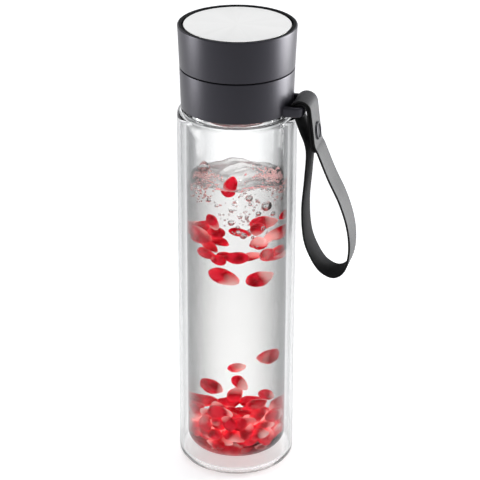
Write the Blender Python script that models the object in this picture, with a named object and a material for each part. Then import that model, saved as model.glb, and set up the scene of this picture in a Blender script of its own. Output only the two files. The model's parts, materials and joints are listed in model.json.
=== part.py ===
"""Infuser water bottle: a double-walled glass under a screw collar and a screw cap, with a strap on a lug.

Metres, +Z up. The origin is the centre of the flat glass base. The lug and the strap lie along +X.
"""

import math

import bmesh
import bpy
from mathutils import Vector

# Fits between pieces
SEAT_GAP = 0.0003
THREAD_GAP = 0.0006
SEAM_GAP = 0.0006
CUT_OVERRUN = 0.0010

# Double-walled glass
BODY_RADIUS = 0.0330
BODY_HEIGHT = 0.2160
BODY_WALL = 0.0020
BODY_FLOOR = 0.0028
BODY_CORNER_RADIUS = 0.0070
SHOULDER_RADIUS = 0.0050
JACKET_GAP = 0.00295
JACKET_FLOOR_GAP = 0.0057
TUBE_WALL = 0.0020
TUBE_FLOOR = 0.0025
TUBE_CORNER_RADIUS = 0.0090
NECK_WALL = 0.0020
NECK_HEIGHT = 0.0160
NECK_STEP_RADIUS = 0.0016

# Screw collar, outside
COLLAR_HEIGHT = 0.0228
COLLAR_INSET = 0.00216
COLLAR_FLARE = 0.00064
SHELL_WALL = 0.0018
SHELL_EDGE_RADIUS = 0.0004
COLLAR_TOP_THICKNESS = 0.0022

# Screw collar, inside
SKIRT_INSET = 0.0008
SKIRT_WALL = 0.00154
COLLAR_SEAL_THICKNESS = 0.0015
COLLAR_SEAL_WIDTH = 0.0022
SPOUT_RISE = 0.0132
SPOUT_LIP_WALL = 0.0014
SPOUT_LOWER_WALL = 0.0021
STRAINER_LEDGE_DEPTH = 0.0060

# Lug on the collar, for the strap
LUG_HEIGHT = 0.0057
LUG_BAR_WIDTH = 0.0038
LUG_ARM_WIDTH = 0.0028
LUG_CORNER_RADIUS = 0.0050
LUG_SLOT_CORNER_RADIUS = 0.0015
LUG_EDGE_RADIUS = 0.0012

# Strainer basket
STRAINER_FLANGE_THICKNESS = 0.0008
STRAINER_WALL = 0.0006
STRAINER_DEPTH = 0.0220
STRAINER_CORNER_RADIUS = 0.0030
STRAINER_FIT_GAP = 0.0004
HOLE_RADIUS = 0.0010
HOLE_PITCH = 0.0048
WALL_HOLE_ROWS = 2
WALL_HOLE_ROW_PITCH = 0.0042
WALL_HOLES_A_ROW = 18

# Screw cap
CAP_HEIGHT = 0.0235
CAP_FLARE = 0.00104
CAP_ROOF = 0.0020
RIM_WIDTH = 0.00222
DISC_RECESS = 0.0017
DISC_GROOVE = 0.0010
DISC_DROP = 0.00035
DISC_EDGE_RADIUS = 0.0003
RIM_EDGE_RADIUS = 0.0006
LINER_WALL = 0.0016
LINER_ROOF = 0.0016
LINER_INSET = 0.0010
LINER_RIBS = 12
LINER_RIB_WIDTH = 0.0012
LINER_RIB_HEIGHT = 0.00078
CAP_SEAL_THICKNESS = 0.0018
CAP_SEAL_WIDTH = 0.0028

# Strap and its rivet
STRAP_WIDTH = 0.0180
STRAP_THICKNESS = 0.0012
STRAP_LAYER_GAP = 0.0003
STRAP_WRAP_GAP = 0.0003
STRAP_SIDE_GAP = 0.0005
STRAP_COLLAR_GAP = 0.0005
STRAP_REACH = 0.0291
STRAP_DROP = 0.0969
STRAP_FRONT_LEAN = math.radians(7)
STRAP_BACK_LEAN = math.radians(20)
STRAP_FRONT_RUN = 0.0190
STRAP_BACK_RUN = 0.0045
STRAP_TAIL = 0.0245
STRAP_FLAP = 0.0030
STRAP_END_RADIUS = 0.0030
RIVET_CAP_RADIUS = 0.0052
RIVET_CAP_RISE = 0.0012
RIVET_BASE_RADIUS = 0.0045
RIVET_BASE_THICKNESS = 0.0009
RIVET_POST_RADIUS = 0.0015
RIVET_POST_SEAT = 0.0003
RIVET_DISTANCE = 0.0141

# The strap's hanging loop: places from the lug bar's centre, as shares of its reach and its drop
LOOP_SHARES = (
    (0.354, 0.249),
    (0.561, 0.395),
    (0.806, 0.547),
    (0.962, 0.698),
    (0.998, 0.842),
    (0.905, 0.954),
    (0.699, 0.999),
    (0.440, 0.968),
    (0.240, 0.882),
    (0.105, 0.768),
    (0.063, 0.596),
    (0.105, 0.421),
    (0.136, 0.264),
    (0.100, 0.190),
    (0.012, 0.125),
)

# Facets
ROUND_SIDES = 48
SMALL_SIDES = 20
SEAL_SIDES = 24
HOLE_SIDES = 6
ARC_STEPS = 4
WRAP_STEPS = 16
LOOP_STEPS = 4
TAIL_STEPS = 6

# Radii that several pieces share, from the body's inwards
TUBE_RADIUS = BODY_RADIUS - BODY_WALL - JACKET_GAP
COLLAR_BOTTOM_RADIUS = BODY_RADIUS - COLLAR_INSET
SEAM_RADIUS = COLLAR_BOTTOM_RADIUS + COLLAR_FLARE
CAP_TOP_RADIUS = SEAM_RADIUS + CAP_FLARE
DISC_RADIUS = CAP_TOP_RADIUS - RIM_WIDTH - DISC_GROOVE
COLLAR_BORE = COLLAR_BOTTOM_RADIUS - SHELL_WALL
SKIRT_RADIUS = COLLAR_BORE - SEAT_GAP
SKIRT_BORE = SKIRT_RADIUS - SKIRT_WALL
NECK_RADIUS = SKIRT_BORE - THREAD_GAP
CAP_BORE = SEAM_RADIUS - SHELL_WALL
LINER_RADIUS = CAP_BORE - SEAT_GAP - LINER_RIB_HEIGHT
LINER_BORE = LINER_RADIUS - LINER_WALL
SPOUT_RADIUS = LINER_BORE - THREAD_GAP
SPOUT_LOWER_BORE = SPOUT_RADIUS - SPOUT_LOWER_WALL
SPOUT_UPPER_BORE = SPOUT_RADIUS - SPOUT_LIP_WALL
STRAINER_RADIUS = SPOUT_LOWER_BORE - STRAINER_FIT_GAP

# Heights that several pieces share
TUBE_BASE_Z = BODY_FLOOR + JACKET_FLOOR_GAP
RIM_Z = BODY_HEIGHT + NECK_HEIGHT
COLLAR_TOP_Z = BODY_HEIGHT + COLLAR_HEIGHT
COLLAR_SEAL_Z = RIM_Z + SEAT_GAP
FLANGE_Z = COLLAR_SEAL_Z + COLLAR_SEAL_THICKNESS + SEAT_GAP
FLANGE_TOP_Z = COLLAR_TOP_Z - COLLAR_TOP_THICKNESS - SEAT_GAP
LIP_Z = COLLAR_TOP_Z + SPOUT_RISE
LEDGE_Z = LIP_Z - STRAINER_LEDGE_DEPTH
STRAINER_FLOOR_Z = LEDGE_Z - STRAINER_DEPTH
CAP_BOTTOM_Z = COLLAR_TOP_Z + SEAM_GAP
CAP_TOP_Z = CAP_BOTTOM_Z + CAP_HEIGHT
CAP_ROOF_Z = CAP_TOP_Z - DISC_RECESS - CAP_ROOF
CAP_SEAL_Z = LIP_Z + SEAT_GAP
LINER_ROOF_Z = CAP_SEAL_Z + CAP_SEAL_THICKNESS + SEAT_GAP

# The strap's two layers round the lug's bar
BAR_CORNER_REACH = LUG_EDGE_RADIUS + math.hypot(
    LUG_BAR_WIDTH / 2 - LUG_EDGE_RADIUS, LUG_HEIGHT / 2 - LUG_EDGE_RADIUS
)
INNER_WRAP_RADIUS = BAR_CORNER_REACH + STRAP_WRAP_GAP + STRAP_THICKNESS / 2
LAYER_STEP = STRAP_THICKNESS + STRAP_LAYER_GAP
OUTER_WRAP_RADIUS = INNER_WRAP_RADIUS + LAYER_STEP

# The lug bar's centre, which the strap swings about, and the lug's size round the strap
BAR_X = COLLAR_BOTTOM_RADIUS + STRAP_COLLAR_GAP + OUTER_WRAP_RADIUS + STRAP_THICKNESS / 2
BAR_Z = BODY_HEIGHT + LUG_HEIGHT / 2
LUG_REACH = BAR_X + LUG_BAR_WIDTH / 2
LUG_SLOT_HALF_WIDTH = STRAP_WIDTH / 2 + STRAP_SIDE_GAP
LUG_HALF_WIDTH = LUG_SLOT_HALF_WIDTH + LUG_ARM_WIDTH


def clear_scene():
    for obj in list(bpy.data.objects):
        bpy.data.objects.remove(obj)


def material(name, colour, roughness, metallic=0.0, transmission=0.0):
    made = bpy.data.materials.new(name)
    made.use_nodes = True
    shader = made.node_tree.nodes["Principled BSDF"]
    shader.inputs["Base Color"].default_value = (*colour, 1.0)
    shader.inputs["Roughness"].default_value = roughness
    shader.inputs["Metallic"].default_value = metallic
    shader.inputs["Transmission Weight"].default_value = transmission
    return made


def arc(centre_x, centre_z, radius, start, end, steps=ARC_STEPS):
    """Points round a centre in the XZ plane, from one angle in degrees to the other, both ends included."""
    points = []
    for step in range(steps + 1):
        angle = math.radians(start + (end - start) * step / steps)
        points.append((centre_x + radius * math.cos(angle), centre_z + radius * math.sin(angle)))
    return points


def mesh_object(name, mesh, finish, parent=None):
    obj = bpy.data.objects.new(name, mesh)
    bpy.context.scene.collection.objects.link(obj)
    if finish:
        mesh.materials.append(finish)
    obj.parent = parent
    return obj


def turned(name, profile, finish, parent=None, closed=False, sides=ROUND_SIDES):
    """A profile of (radius, height) points, turned about Z. It runs down the piece's outer side."""
    mesh = bpy.data.meshes.new(name)
    points = [(radius, 0, height) for radius, height in profile]
    edges = [(i, i + 1) for i in range(len(points) - 1)]
    if closed:
        edges.append((len(points) - 1, 0))
    mesh.from_pydata(points, edges, [])
    obj = mesh_object(name, mesh, finish, parent)
    screw = obj.modifiers.new("turn", "SCREW")
    screw.steps = sides
    screw.render_steps = sides
    screw.use_merge_vertices = True
    screw.merge_threshold = SEAT_GAP / 100
    screw.use_smooth_shade = True
    return obj


def pivot(name, place, parent=None):
    empty = bpy.data.objects.new(name, None)
    bpy.context.scene.collection.objects.link(empty)
    empty.parent = parent
    empty.location = place
    return empty


def cutter(name, bm):
    """A hidden tool body for a Boolean."""
    mesh = bpy.data.meshes.new(name)
    bm.to_mesh(mesh)
    bm.free()
    obj = mesh_object(name, mesh, None)
    obj.hide_render = True
    obj.display_type = "WIRE"
    return obj


def combine(obj, tool, operation):
    step = obj.modifiers.new(tool.name, "BOOLEAN")
    step.operation = operation
    step.solver = "EXACT"
    step.object = tool


def smooth_sides(obj):
    obj.data.shade_smooth()
    obj.data.set_sharp_from_angle(angle=math.radians(35))


def body_glass(finish):
    """The outer wall: a flat-based cup whose shoulder rounds in to meet the neck."""
    inner_radius = BODY_RADIUS - BODY_WALL
    shoulder_x = BODY_RADIUS - SHOULDER_RADIUS
    shoulder_z = BODY_HEIGHT - SHOULDER_RADIUS
    lip_radius = NECK_RADIUS + SEAT_GAP
    inside_shoulder = SHOULDER_RADIUS - BODY_WALL
    outer_corner = BODY_CORNER_RADIUS
    inner_corner = BODY_CORNER_RADIUS - BODY_WALL
    profile = [(0, BODY_FLOOR)]
    profile += arc(inner_radius - inner_corner, BODY_FLOOR + inner_corner, inner_corner, -90, 0)
    profile += arc(shoulder_x, shoulder_z, inside_shoulder, 0, 90)
    profile += [(lip_radius, BODY_HEIGHT - BODY_WALL), (lip_radius, BODY_HEIGHT)]
    profile += arc(shoulder_x, shoulder_z, SHOULDER_RADIUS, 90, 0)
    profile += arc(BODY_RADIUS - outer_corner, outer_corner, outer_corner, 0, -90)
    profile += [(0, 0)]
    return turned("outer_glass", profile, finish)


def tube_glass(finish):
    """The inner wall: a round-bottomed tube that draws in to the neck under the collar."""
    bore = TUBE_RADIUS - TUBE_WALL
    neck_bore = NECK_RADIUS - NECK_WALL
    floor_z = TUBE_BASE_Z + TUBE_FLOOR
    inner_corner = TUBE_CORNER_RADIUS - TUBE_WALL
    lip_radius = NECK_WALL / 2
    step_top_z = BODY_HEIGHT - BODY_WALL - SEAT_GAP
    step_drop = TUBE_RADIUS - NECK_RADIUS
    profile = [(0, floor_z)]
    profile += arc(bore - inner_corner, floor_z + inner_corner, inner_corner, -90, 0)
    profile += [(bore, step_top_z - NECK_STEP_RADIUS - step_drop), (neck_bore, step_top_z)]
    profile += arc(neck_bore + lip_radius, RIM_Z - lip_radius, lip_radius, 180, 0)
    profile += [(NECK_RADIUS, step_top_z - NECK_STEP_RADIUS / 2)]
    profile += [(TUBE_RADIUS, step_top_z - NECK_STEP_RADIUS - step_drop)]
    outer_x = TUBE_RADIUS - TUBE_CORNER_RADIUS
    profile += arc(outer_x, TUBE_BASE_Z + TUBE_CORNER_RADIUS, TUBE_CORNER_RADIUS, 0, -90, ARC_STEPS + 1)
    profile += [(0, TUBE_BASE_Z)]
    return turned("inner_glass", profile, finish)


def seal_ring(name, outer_radius, width, base_z, thickness, finish, parent=None):
    """A flat washer with rounded edges."""
    edge = thickness / 4
    inner_radius = outer_radius - width
    top_z = base_z + thickness
    profile = [
        (inner_radius + edge, top_z),
        (outer_radius - edge, top_z),
        (outer_radius, top_z - edge),
        (outer_radius, base_z + edge),
        (outer_radius - edge, base_z),
        (inner_radius + edge, base_z),
        (inner_radius, base_z + edge),
        (inner_radius, top_z - edge),
    ]
    return turned(name, profile, finish, parent, closed=True, sides=SEAL_SIDES)


def lug_outline():
    """The lug from above, a U whose ends lie inside the collar's wall."""
    slot_half = LUG_SLOT_HALF_WIDTH
    arm_middle = slot_half + LUG_ARM_WIDTH / 2
    root_x = math.sqrt((COLLAR_BORE + SHELL_WALL / 2) ** 2 - arm_middle**2)
    slot_x = LUG_REACH - LUG_BAR_WIDTH
    corner = LUG_CORNER_RADIUS
    inner = LUG_SLOT_CORNER_RADIUS
    points = [(root_x, -LUG_HALF_WIDTH)]
    points += arc(LUG_REACH - corner, corner - LUG_HALF_WIDTH, corner, -90, 0)
    points += arc(LUG_REACH - corner, LUG_HALF_WIDTH - corner, corner, 0, 90)
    points += [(root_x, LUG_HALF_WIDTH), (root_x, slot_half)]
    points += arc(slot_x - inner, slot_half - inner, inner, 90, 0)
    points += arc(slot_x - inner, inner - slot_half, inner, 0, -90)
    points += [(root_x, -slot_half)]
    return points


def lug_tool():
    """The lug: its outline pulled up to its height, with the bar's edges rounded for the strap."""
    bm = bmesh.new()
    floor = bm.faces.new([bm.verts.new((x, y, BODY_HEIGHT)) for x, y in lug_outline()])
    pulled = bmesh.ops.extrude_face_region(bm, geom=[floor])["geom"]
    raised = [item for item in pulled if isinstance(item, bmesh.types.BMVert)]
    bmesh.ops.translate(bm, verts=raised, vec=Vector((0, 0, LUG_HEIGHT)))
    bmesh.ops.recalc_face_normals(bm, faces=bm.faces)
    level = [edge for edge in bm.edges if abs(edge.verts[0].co.z - edge.verts[1].co.z) < SEAT_GAP]
    bmesh.ops.bevel(bm, geom=level, offset=LUG_EDGE_RADIUS, segments=3, profile=0.5, affect="EDGES")
    return cutter("lug", bm)


def collar_shell(finish, parent):
    """The collar's outer sleeve, a little wider at the top, with the strap's lug at its lower edge."""
    edge = SHELL_EDGE_RADIUS
    inner_top = SPOUT_RADIUS + SEAT_GAP
    profile = [
        (inner_top, COLLAR_TOP_Z),
        (SEAM_RADIUS - edge, COLLAR_TOP_Z),
        (SEAM_RADIUS, COLLAR_TOP_Z - edge),
        (COLLAR_BOTTOM_RADIUS, BODY_HEIGHT + edge),
        (COLLAR_BOTTOM_RADIUS - edge, BODY_HEIGHT + SEAT_GAP),
        (COLLAR_BORE, BODY_HEIGHT + SEAT_GAP),
        (COLLAR_BORE, COLLAR_TOP_Z - COLLAR_TOP_THICKNESS),
        (inner_top, COLLAR_TOP_Z - COLLAR_TOP_THICKNESS),
    ]
    obj = turned("collar_shell", profile, finish, parent, closed=True)
    combine(obj, lug_tool(), "UNION")
    return obj


def collar_insert(finish, parent):
    """The collar's threaded core: a skirt round the glass neck, a flange on its seal, and the drinking spout."""
    lip = SPOUT_LIP_WALL / 2
    seal_bore = SPOUT_LOWER_BORE
    skirt_z = BODY_HEIGHT + SKIRT_INSET
    edge = SHELL_EDGE_RADIUS
    profile = arc(SPOUT_UPPER_BORE + lip, LIP_Z - lip, lip, 180, 0)
    profile += [
        (SPOUT_RADIUS, FLANGE_TOP_Z),
        (SKIRT_RADIUS, FLANGE_TOP_Z),
        (SKIRT_RADIUS, skirt_z + edge),
        (SKIRT_RADIUS - edge, skirt_z),
        (SKIRT_BORE + edge, skirt_z),
        (SKIRT_BORE, skirt_z + edge),
        (SKIRT_BORE, FLANGE_Z),
        (seal_bore, FLANGE_Z),
        (seal_bore, LEDGE_Z),
        (SPOUT_UPPER_BORE, LEDGE_Z),
    ]
    return turned("collar_insert", profile, finish, parent, closed=True)


def hole_grid(outer_radius):
    """The places of a hexagonal grid inside a circle."""
    row_step = HOLE_PITCH * math.sqrt(3) / 2
    rows = int(outer_radius / row_step)
    columns = int(outer_radius / HOLE_PITCH) + 1
    places = []
    for row in range(-rows, rows + 1):
        shift = HOLE_PITCH / 2 if row % 2 else 0
        for column in range(-columns, columns + 1):
            place = (column * HOLE_PITCH + shift, row * row_step)
            if math.hypot(*place) <= outer_radius:
                places.append(place)
    return places


def add_pin(bm, centre, direction, length, radius, sides):
    """A plain cylinder along a direction, added to the mesh."""
    made = bmesh.ops.create_cone(
        bm, cap_ends=True, segments=sides, radius1=radius, radius2=radius, depth=length
    )
    turn = direction.to_track_quat("Z", "Y")
    bmesh.ops.rotate(bm, verts=made["verts"], matrix=turn.to_matrix())
    bmesh.ops.translate(bm, verts=made["verts"], vec=centre)


def strainer_holes():
    """Every hole of the basket as one cutter: a hexagonal field in its floor and rows round its wall."""
    bm = bmesh.new()
    through = STRAINER_WALL + 2 * CUT_OVERRUN
    floor_middle = STRAINER_FLOOR_Z + STRAINER_WALL / 2
    field_radius = STRAINER_RADIUS - STRAINER_CORNER_RADIUS - HOLE_RADIUS
    for x, y in hole_grid(field_radius):
        add_pin(bm, Vector((x, y, floor_middle)), Vector((0, 0, 1)), through, HOLE_RADIUS, HOLE_SIDES)
    wall_middle = STRAINER_RADIUS - STRAINER_WALL / 2
    first_z = STRAINER_FLOOR_Z + STRAINER_CORNER_RADIUS + 2 * HOLE_RADIUS
    for row in range(WALL_HOLE_ROWS):
        for number in range(WALL_HOLES_A_ROW):
            angle = math.tau * (number + 0.5 + row / 2) / WALL_HOLES_A_ROW
            outward = Vector((math.cos(angle), math.sin(angle), 0))
            centre = outward * wall_middle
            centre.z = first_z + row * WALL_HOLE_ROW_PITCH
            add_pin(bm, centre, outward, through, HOLE_RADIUS, HOLE_SIDES)
    return cutter("strainer_holes", bm)


def strainer_basket(finish, parent):
    """A pressed steel basket that hangs by its flange on the ledge inside the spout."""
    flange_z = LEDGE_Z + SEAT_GAP
    flange_top_z = flange_z + STRAINER_FLANGE_THICKNESS
    flange_radius = SPOUT_UPPER_BORE - SEAT_GAP
    bore = STRAINER_RADIUS - STRAINER_WALL
    corner = STRAINER_CORNER_RADIUS
    inner_corner = corner - STRAINER_WALL
    floor_top_z = STRAINER_FLOOR_Z + STRAINER_WALL
    profile = [(0, floor_top_z)]
    profile += arc(bore - inner_corner, floor_top_z + inner_corner, inner_corner, -90, 0, 2)
    profile += [(bore, flange_top_z), (flange_radius, flange_top_z), (flange_radius, flange_z)]
    profile += [(STRAINER_RADIUS, flange_z)]
    profile += arc(STRAINER_RADIUS - corner, STRAINER_FLOOR_Z + corner, corner, 0, -90, 2)
    profile += [(0, STRAINER_FLOOR_Z)]
    obj = turned("strainer_basket", profile, finish, parent)
    combine(obj, strainer_holes(), "DIFFERENCE")
    return obj


def cap_shell(finish, parent):
    """The cap's outer cover, flaring to a rim round the recess for the steel disc."""
    recess_radius = DISC_RADIUS + DISC_GROOVE
    recess_z = CAP_TOP_Z - DISC_RECESS
    edge = SHELL_EDGE_RADIUS
    rim = RIM_EDGE_RADIUS
    profile = [(0, recess_z), (recess_radius, recess_z), (recess_radius, CAP_TOP_Z - edge)]
    profile += [(recess_radius + edge, CAP_TOP_Z)]
    profile += arc(CAP_TOP_RADIUS - rim, CAP_TOP_Z - rim, rim, 90, 0, 3)
    profile += [
        (SEAM_RADIUS, CAP_BOTTOM_Z + edge),
        (SEAM_RADIUS - edge, CAP_BOTTOM_Z),
        (CAP_BORE, CAP_BOTTOM_Z),
        (CAP_BORE, CAP_ROOF_Z),
        (0, CAP_ROOF_Z),
    ]
    return turned("cap_shell", profile, finish, parent)


def steel_disc(finish, parent):
    """The steel disc let into the top of the cap, its edge turned down."""
    base_z = CAP_TOP_Z - DISC_RECESS + SEAT_GAP
    top_z = CAP_TOP_Z - DISC_DROP
    edge = DISC_EDGE_RADIUS
    profile = [
        (0, top_z),
        (DISC_RADIUS - edge, top_z),
        (DISC_RADIUS, top_z - edge),
        (DISC_RADIUS, base_z),
        (0, base_z),
    ]
    return turned("steel_disc", profile, finish, parent)


def rib_tool(bottom_z, top_z):
    """The liner's ribs, which centre it in the cover."""
    bm = bmesh.new()
    inner = LINER_BORE + LINER_WALL / 2
    outer = CAP_BORE - SEAT_GAP
    for number in range(LINER_RIBS):
        angle = math.tau * number / LINER_RIBS
        along = Vector((math.cos(angle), math.sin(angle), 0))
        across = Vector((-along.y, along.x, 0)) * (LINER_RIB_WIDTH / 2)
        corners = []
        for height in (bottom_z, top_z):
            for reach, side in ((inner, -1), (outer, -1), (outer, 1), (inner, 1)):
                corners.append(bm.verts.new(along * reach + across * side + Vector((0, 0, height))))
        bm.faces.new(corners[3::-1])
        bm.faces.new(corners[4:])
        for side in range(4):
            after = (side + 1) % 4
            bm.faces.new((corners[side], corners[after], corners[after + 4], corners[side + 4]))
    return cutter("liner_ribs", bm)


def cap_liner(finish, parent):
    """The cap's threaded inner part, a ribbed cup pressed up into the cover."""
    top_z = CAP_ROOF_Z - SEAT_GAP
    bottom_z = CAP_BOTTOM_Z + LINER_INSET
    edge = SHELL_EDGE_RADIUS
    crown_bore = LINER_RADIUS - LINER_WALL
    roof_top_z = LINER_ROOF_Z + LINER_ROOF
    profile = [
        (0, roof_top_z),
        (crown_bore, roof_top_z),
        (crown_bore, top_z),
        (LINER_RADIUS, top_z),
        (LINER_RADIUS, bottom_z + edge),
        (LINER_RADIUS - edge, bottom_z),
        (LINER_BORE + edge, bottom_z),
        (LINER_BORE, bottom_z + edge),
        (LINER_BORE, LINER_ROOF_Z),
        (0, LINER_ROOF_Z),
    ]
    obj = turned("cap_liner", profile, finish, parent)
    combine(obj, rib_tool(bottom_z + LINER_INSET, top_z - LINER_INSET), "UNION")
    return obj


def smooth_curve(points, before, after, steps):
    """A Catmull-Rom curve through the points, whose ends leave along the two given neighbours."""
    chain = [before, *points, after]
    path = []
    for i in range(1, len(chain) - 2):
        a, b, c, d = chain[i - 1 : i + 3]
        for step in range(steps):
            t = step / steps
            bend = 2 * a - 5 * b + 4 * c - d
            twist = 3 * b - a - 3 * c + d
            path.append(b + ((c - a) * t + bend * t**2 + twist * t**3) / 2)
    path.append(points[-1])
    return path


def wrap(radius, start, end):
    """The strap's way over the bar, clockwise from one angle to the other, about the bar's centre."""
    path = []
    for step in range(WRAP_STEPS + 1):
        angle = start + (end - start) * step / WRAP_STEPS
        path.append(Vector((math.cos(angle), math.sin(angle))) * radius)
    return path


def inside(path, distance):
    """The place beside a path's inner side, a layer's step away, at a distance along it."""
    for before, after in zip(path, path[1:]):
        length = (after - before).length
        if distance <= length:
            break
        distance -= length
    along = (after - before) / length
    return before + along * distance + Vector((along.y, -along.x)) * LAYER_STEP


def strap_path():
    """The middle of the one strip, from its flap, twice over the bar, to the end of its tail.

    Places are (outward, up) from the bar's centre. The tail lies against the inside of the front run.
    """
    front = Vector((math.sin(STRAP_FRONT_LEAN), -math.cos(STRAP_FRONT_LEAN)))
    back = Vector((math.sin(STRAP_BACK_LEAN), -math.cos(STRAP_BACK_LEAN)))
    first = math.pi + STRAP_BACK_LEAN
    last = STRAP_FRONT_LEAN
    outer = wrap(OUTER_WRAP_RADIUS, first, last)
    inner = wrap(INNER_WRAP_RADIUS, first, last)
    front_end = outer[-1] + front * STRAP_FRONT_RUN
    back_end = inner[0] + back * STRAP_BACK_RUN
    reach = STRAP_REACH - STRAP_THICKNESS / 2
    drop = STRAP_DROP - STRAP_THICKNESS / 2
    loop = [Vector((out_share * reach, -down_share * drop)) for out_share, down_share in LOOP_SHARES]
    hanging = smooth_curve([front_end, *loop, back_end], outer[-1], inner[0], LOOP_STEPS)
    flap = [outer[0] + back * STRAP_FLAP * (1 - step / ARC_STEPS) for step in range(ARC_STEPS)]
    descent = [outer[-1], *hanging]
    tail_bend = STRAP_TAIL - STRAP_END_RADIUS
    tail = [inside(descent, tail_bend * step / TAIL_STEPS) for step in range(1, TAIL_STEPS)]
    for step in range(ARC_STEPS + 1):
        tail.append(inside(descent, tail_bend + STRAP_END_RADIUS * step / ARC_STEPS))
    return [*flap, *outer, *hanging, *inner, *tail]


def strap_half_width(distance):
    """Half the strip's width at a distance from one of its rounded ends."""
    radius = STRAP_END_RADIUS
    if distance >= radius:
        return STRAP_WIDTH / 2
    return STRAP_WIDTH / 2 - radius + math.sqrt(radius**2 - (radius - distance) ** 2)


def strap_strip():
    """The strip as a mesh about the bar's centre, one rectangle a step along its path."""
    path = strap_path()
    lengths = [0.0]
    for before, after in zip(path, path[1:]):
        lengths.append(lengths[-1] + (after - before).length)
    total = lengths[-1]
    bm = bmesh.new()
    rings = []
    for i, place in enumerate(path):
        along = (path[min(i + 1, len(path) - 1)] - path[max(i - 1, 0)]).normalized()
        aside = Vector((-along.y, along.x)) * (STRAP_THICKNESS / 2)
        half = strap_half_width(min(lengths[i], total - lengths[i]))
        ring = []
        for sign, width in ((1, -half), (1, half), (-1, half), (-1, -half)):
            point = place + aside * sign
            ring.append(bm.verts.new((point.x, width, point.y)))
        rings.append(ring)
    for before, after in zip(rings, rings[1:]):
        for side in range(4):
            following = (side + 1) % 4
            bm.faces.new((before[side], before[following], after[following], after[side]))
    bm.faces.new(rings[0])
    bm.faces.new(rings[-1])
    bmesh.ops.recalc_face_normals(bm, faces=bm.faces)
    return bm


def rivet_place():
    """Where the rivet goes through both layers, from the bar's centre, and the way its cap faces."""
    front = Vector((math.sin(STRAP_FRONT_LEAN), -math.cos(STRAP_FRONT_LEAN)))
    outward = Vector((math.cos(STRAP_FRONT_LEAN), math.sin(STRAP_FRONT_LEAN)))
    place = outward * OUTER_WRAP_RADIUS + front * RIVET_DISTANCE
    return Vector((place.x, 0, place.y)), Vector((outward.x, 0, outward.y))


def strap(finish, parent):
    """One strip of faux leather, twice over the lug's bar, with its tail riveted inside its front run."""
    bm = strap_strip()
    mesh = bpy.data.meshes.new("strap")
    bm.to_mesh(mesh)
    bm.free()
    obj = mesh_object("strap", mesh, finish, parent)
    smooth_sides(obj)
    place, outward = rivet_place()
    hole = bmesh.new()
    depth = 2 * (STRAP_THICKNESS + LAYER_STEP + CUT_OVERRUN)
    add_pin(hole, place, outward, depth, RIVET_POST_RADIUS + SEAT_GAP, SMALL_SIDES)
    tool = cutter("rivet_hole", hole)
    tool.parent = parent
    combine(obj, tool, "DIFFERENCE")
    return obj


def rivet(cap_finish, base_finish, parent):
    """The double-cap rivet: a domed cap on a post, and the flat cap that its post is driven into."""
    place, outward = rivet_place()
    seat = pivot("rivet_axis", place, parent)
    seat.rotation_mode = "QUATERNION"
    seat.rotation_quaternion = outward.to_track_quat("Z", "Y")
    cap_z = STRAP_THICKNESS / 2 + SEAT_GAP
    base_top = -(STRAP_THICKNESS / 2 + LAYER_STEP) - SEAT_GAP
    post_end = base_top - RIVET_POST_SEAT
    edge = RIVET_CAP_RISE / 3
    dish_radius = RIVET_CAP_RADIUS - 2 * edge
    cap_profile = [
        (0, cap_z + 2 * edge),
        (dish_radius - edge, cap_z + 2 * edge),
        (dish_radius, cap_z + RIVET_CAP_RISE),
        (RIVET_CAP_RADIUS - edge, cap_z + RIVET_CAP_RISE),
        (RIVET_CAP_RADIUS, cap_z + 2 * edge),
        (RIVET_CAP_RADIUS, cap_z),
        (RIVET_POST_RADIUS, cap_z),
        (RIVET_POST_RADIUS, post_end),
        (0, post_end),
    ]
    turned("rivet_cap", cap_profile, cap_finish, seat, sides=SMALL_SIDES)
    base_bottom = base_top - RIVET_BASE_THICKNESS
    socket_radius = RIVET_POST_RADIUS + SEAT_GAP
    base_profile = [
        (0, post_end - SEAT_GAP),
        (socket_radius, post_end - SEAT_GAP),
        (socket_radius, base_top),
        (RIVET_BASE_RADIUS, base_top),
        (RIVET_BASE_RADIUS, base_bottom + edge),
        (RIVET_BASE_RADIUS - edge, base_bottom),
        (0, base_bottom),
    ]
    turned("rivet_base", base_profile, base_finish, seat, sides=SMALL_SIDES)


clear_scene()

clear_glass = material("clear_glass", (0.95, 0.97, 0.96), 0.02, transmission=1.0)
anthracite = material("anthracite_plastic", (0.075, 0.075, 0.082), 0.42)
black_plastic = material("black_plastic", (0.03, 0.03, 0.032), 0.5)
silicone = material("silicone", (0.72, 0.73, 0.72), 0.55)
spun_steel = material("spun_steel", (0.78, 0.77, 0.75), 0.28, metallic=1.0)
sheet_steel = material("sheet_steel", (0.6, 0.6, 0.6), 0.3, metallic=1.0)
faux_leather = material("faux_leather", (0.09, 0.09, 0.092), 0.55)
black_nickel = material("black_nickel", (0.16, 0.16, 0.165), 0.3, metallic=1.0)

body_glass(clear_glass)
tube_glass(clear_glass)

collar_axis = pivot("collar_axis", (0, 0, 0))
seal_ring(
    "collar_seal",
    SKIRT_BORE - SEAT_GAP,
    COLLAR_SEAL_WIDTH,
    COLLAR_SEAL_Z,
    COLLAR_SEAL_THICKNESS,
    silicone,
    collar_axis,
)
collar_shell(anthracite, collar_axis)
collar_insert(black_plastic, collar_axis)
strainer_basket(sheet_steel, collar_axis)

cap_axis = pivot("cap_axis", (0, 0, 0), collar_axis)
seal_ring(
    "cap_seal",
    LINER_BORE - SEAT_GAP,
    CAP_SEAL_WIDTH,
    CAP_SEAL_Z,
    CAP_SEAL_THICKNESS,
    silicone,
    cap_axis,
)
cap_shell(anthracite, cap_axis)
cap_liner(black_plastic, cap_axis)
steel_disc(spun_steel, cap_axis)

strap_axis = pivot("strap_axis", (BAR_X, 0, BAR_Z), collar_axis)
strap(faux_leather, strap_axis)
rivet(black_nickel, black_nickel, strap_axis)
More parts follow.
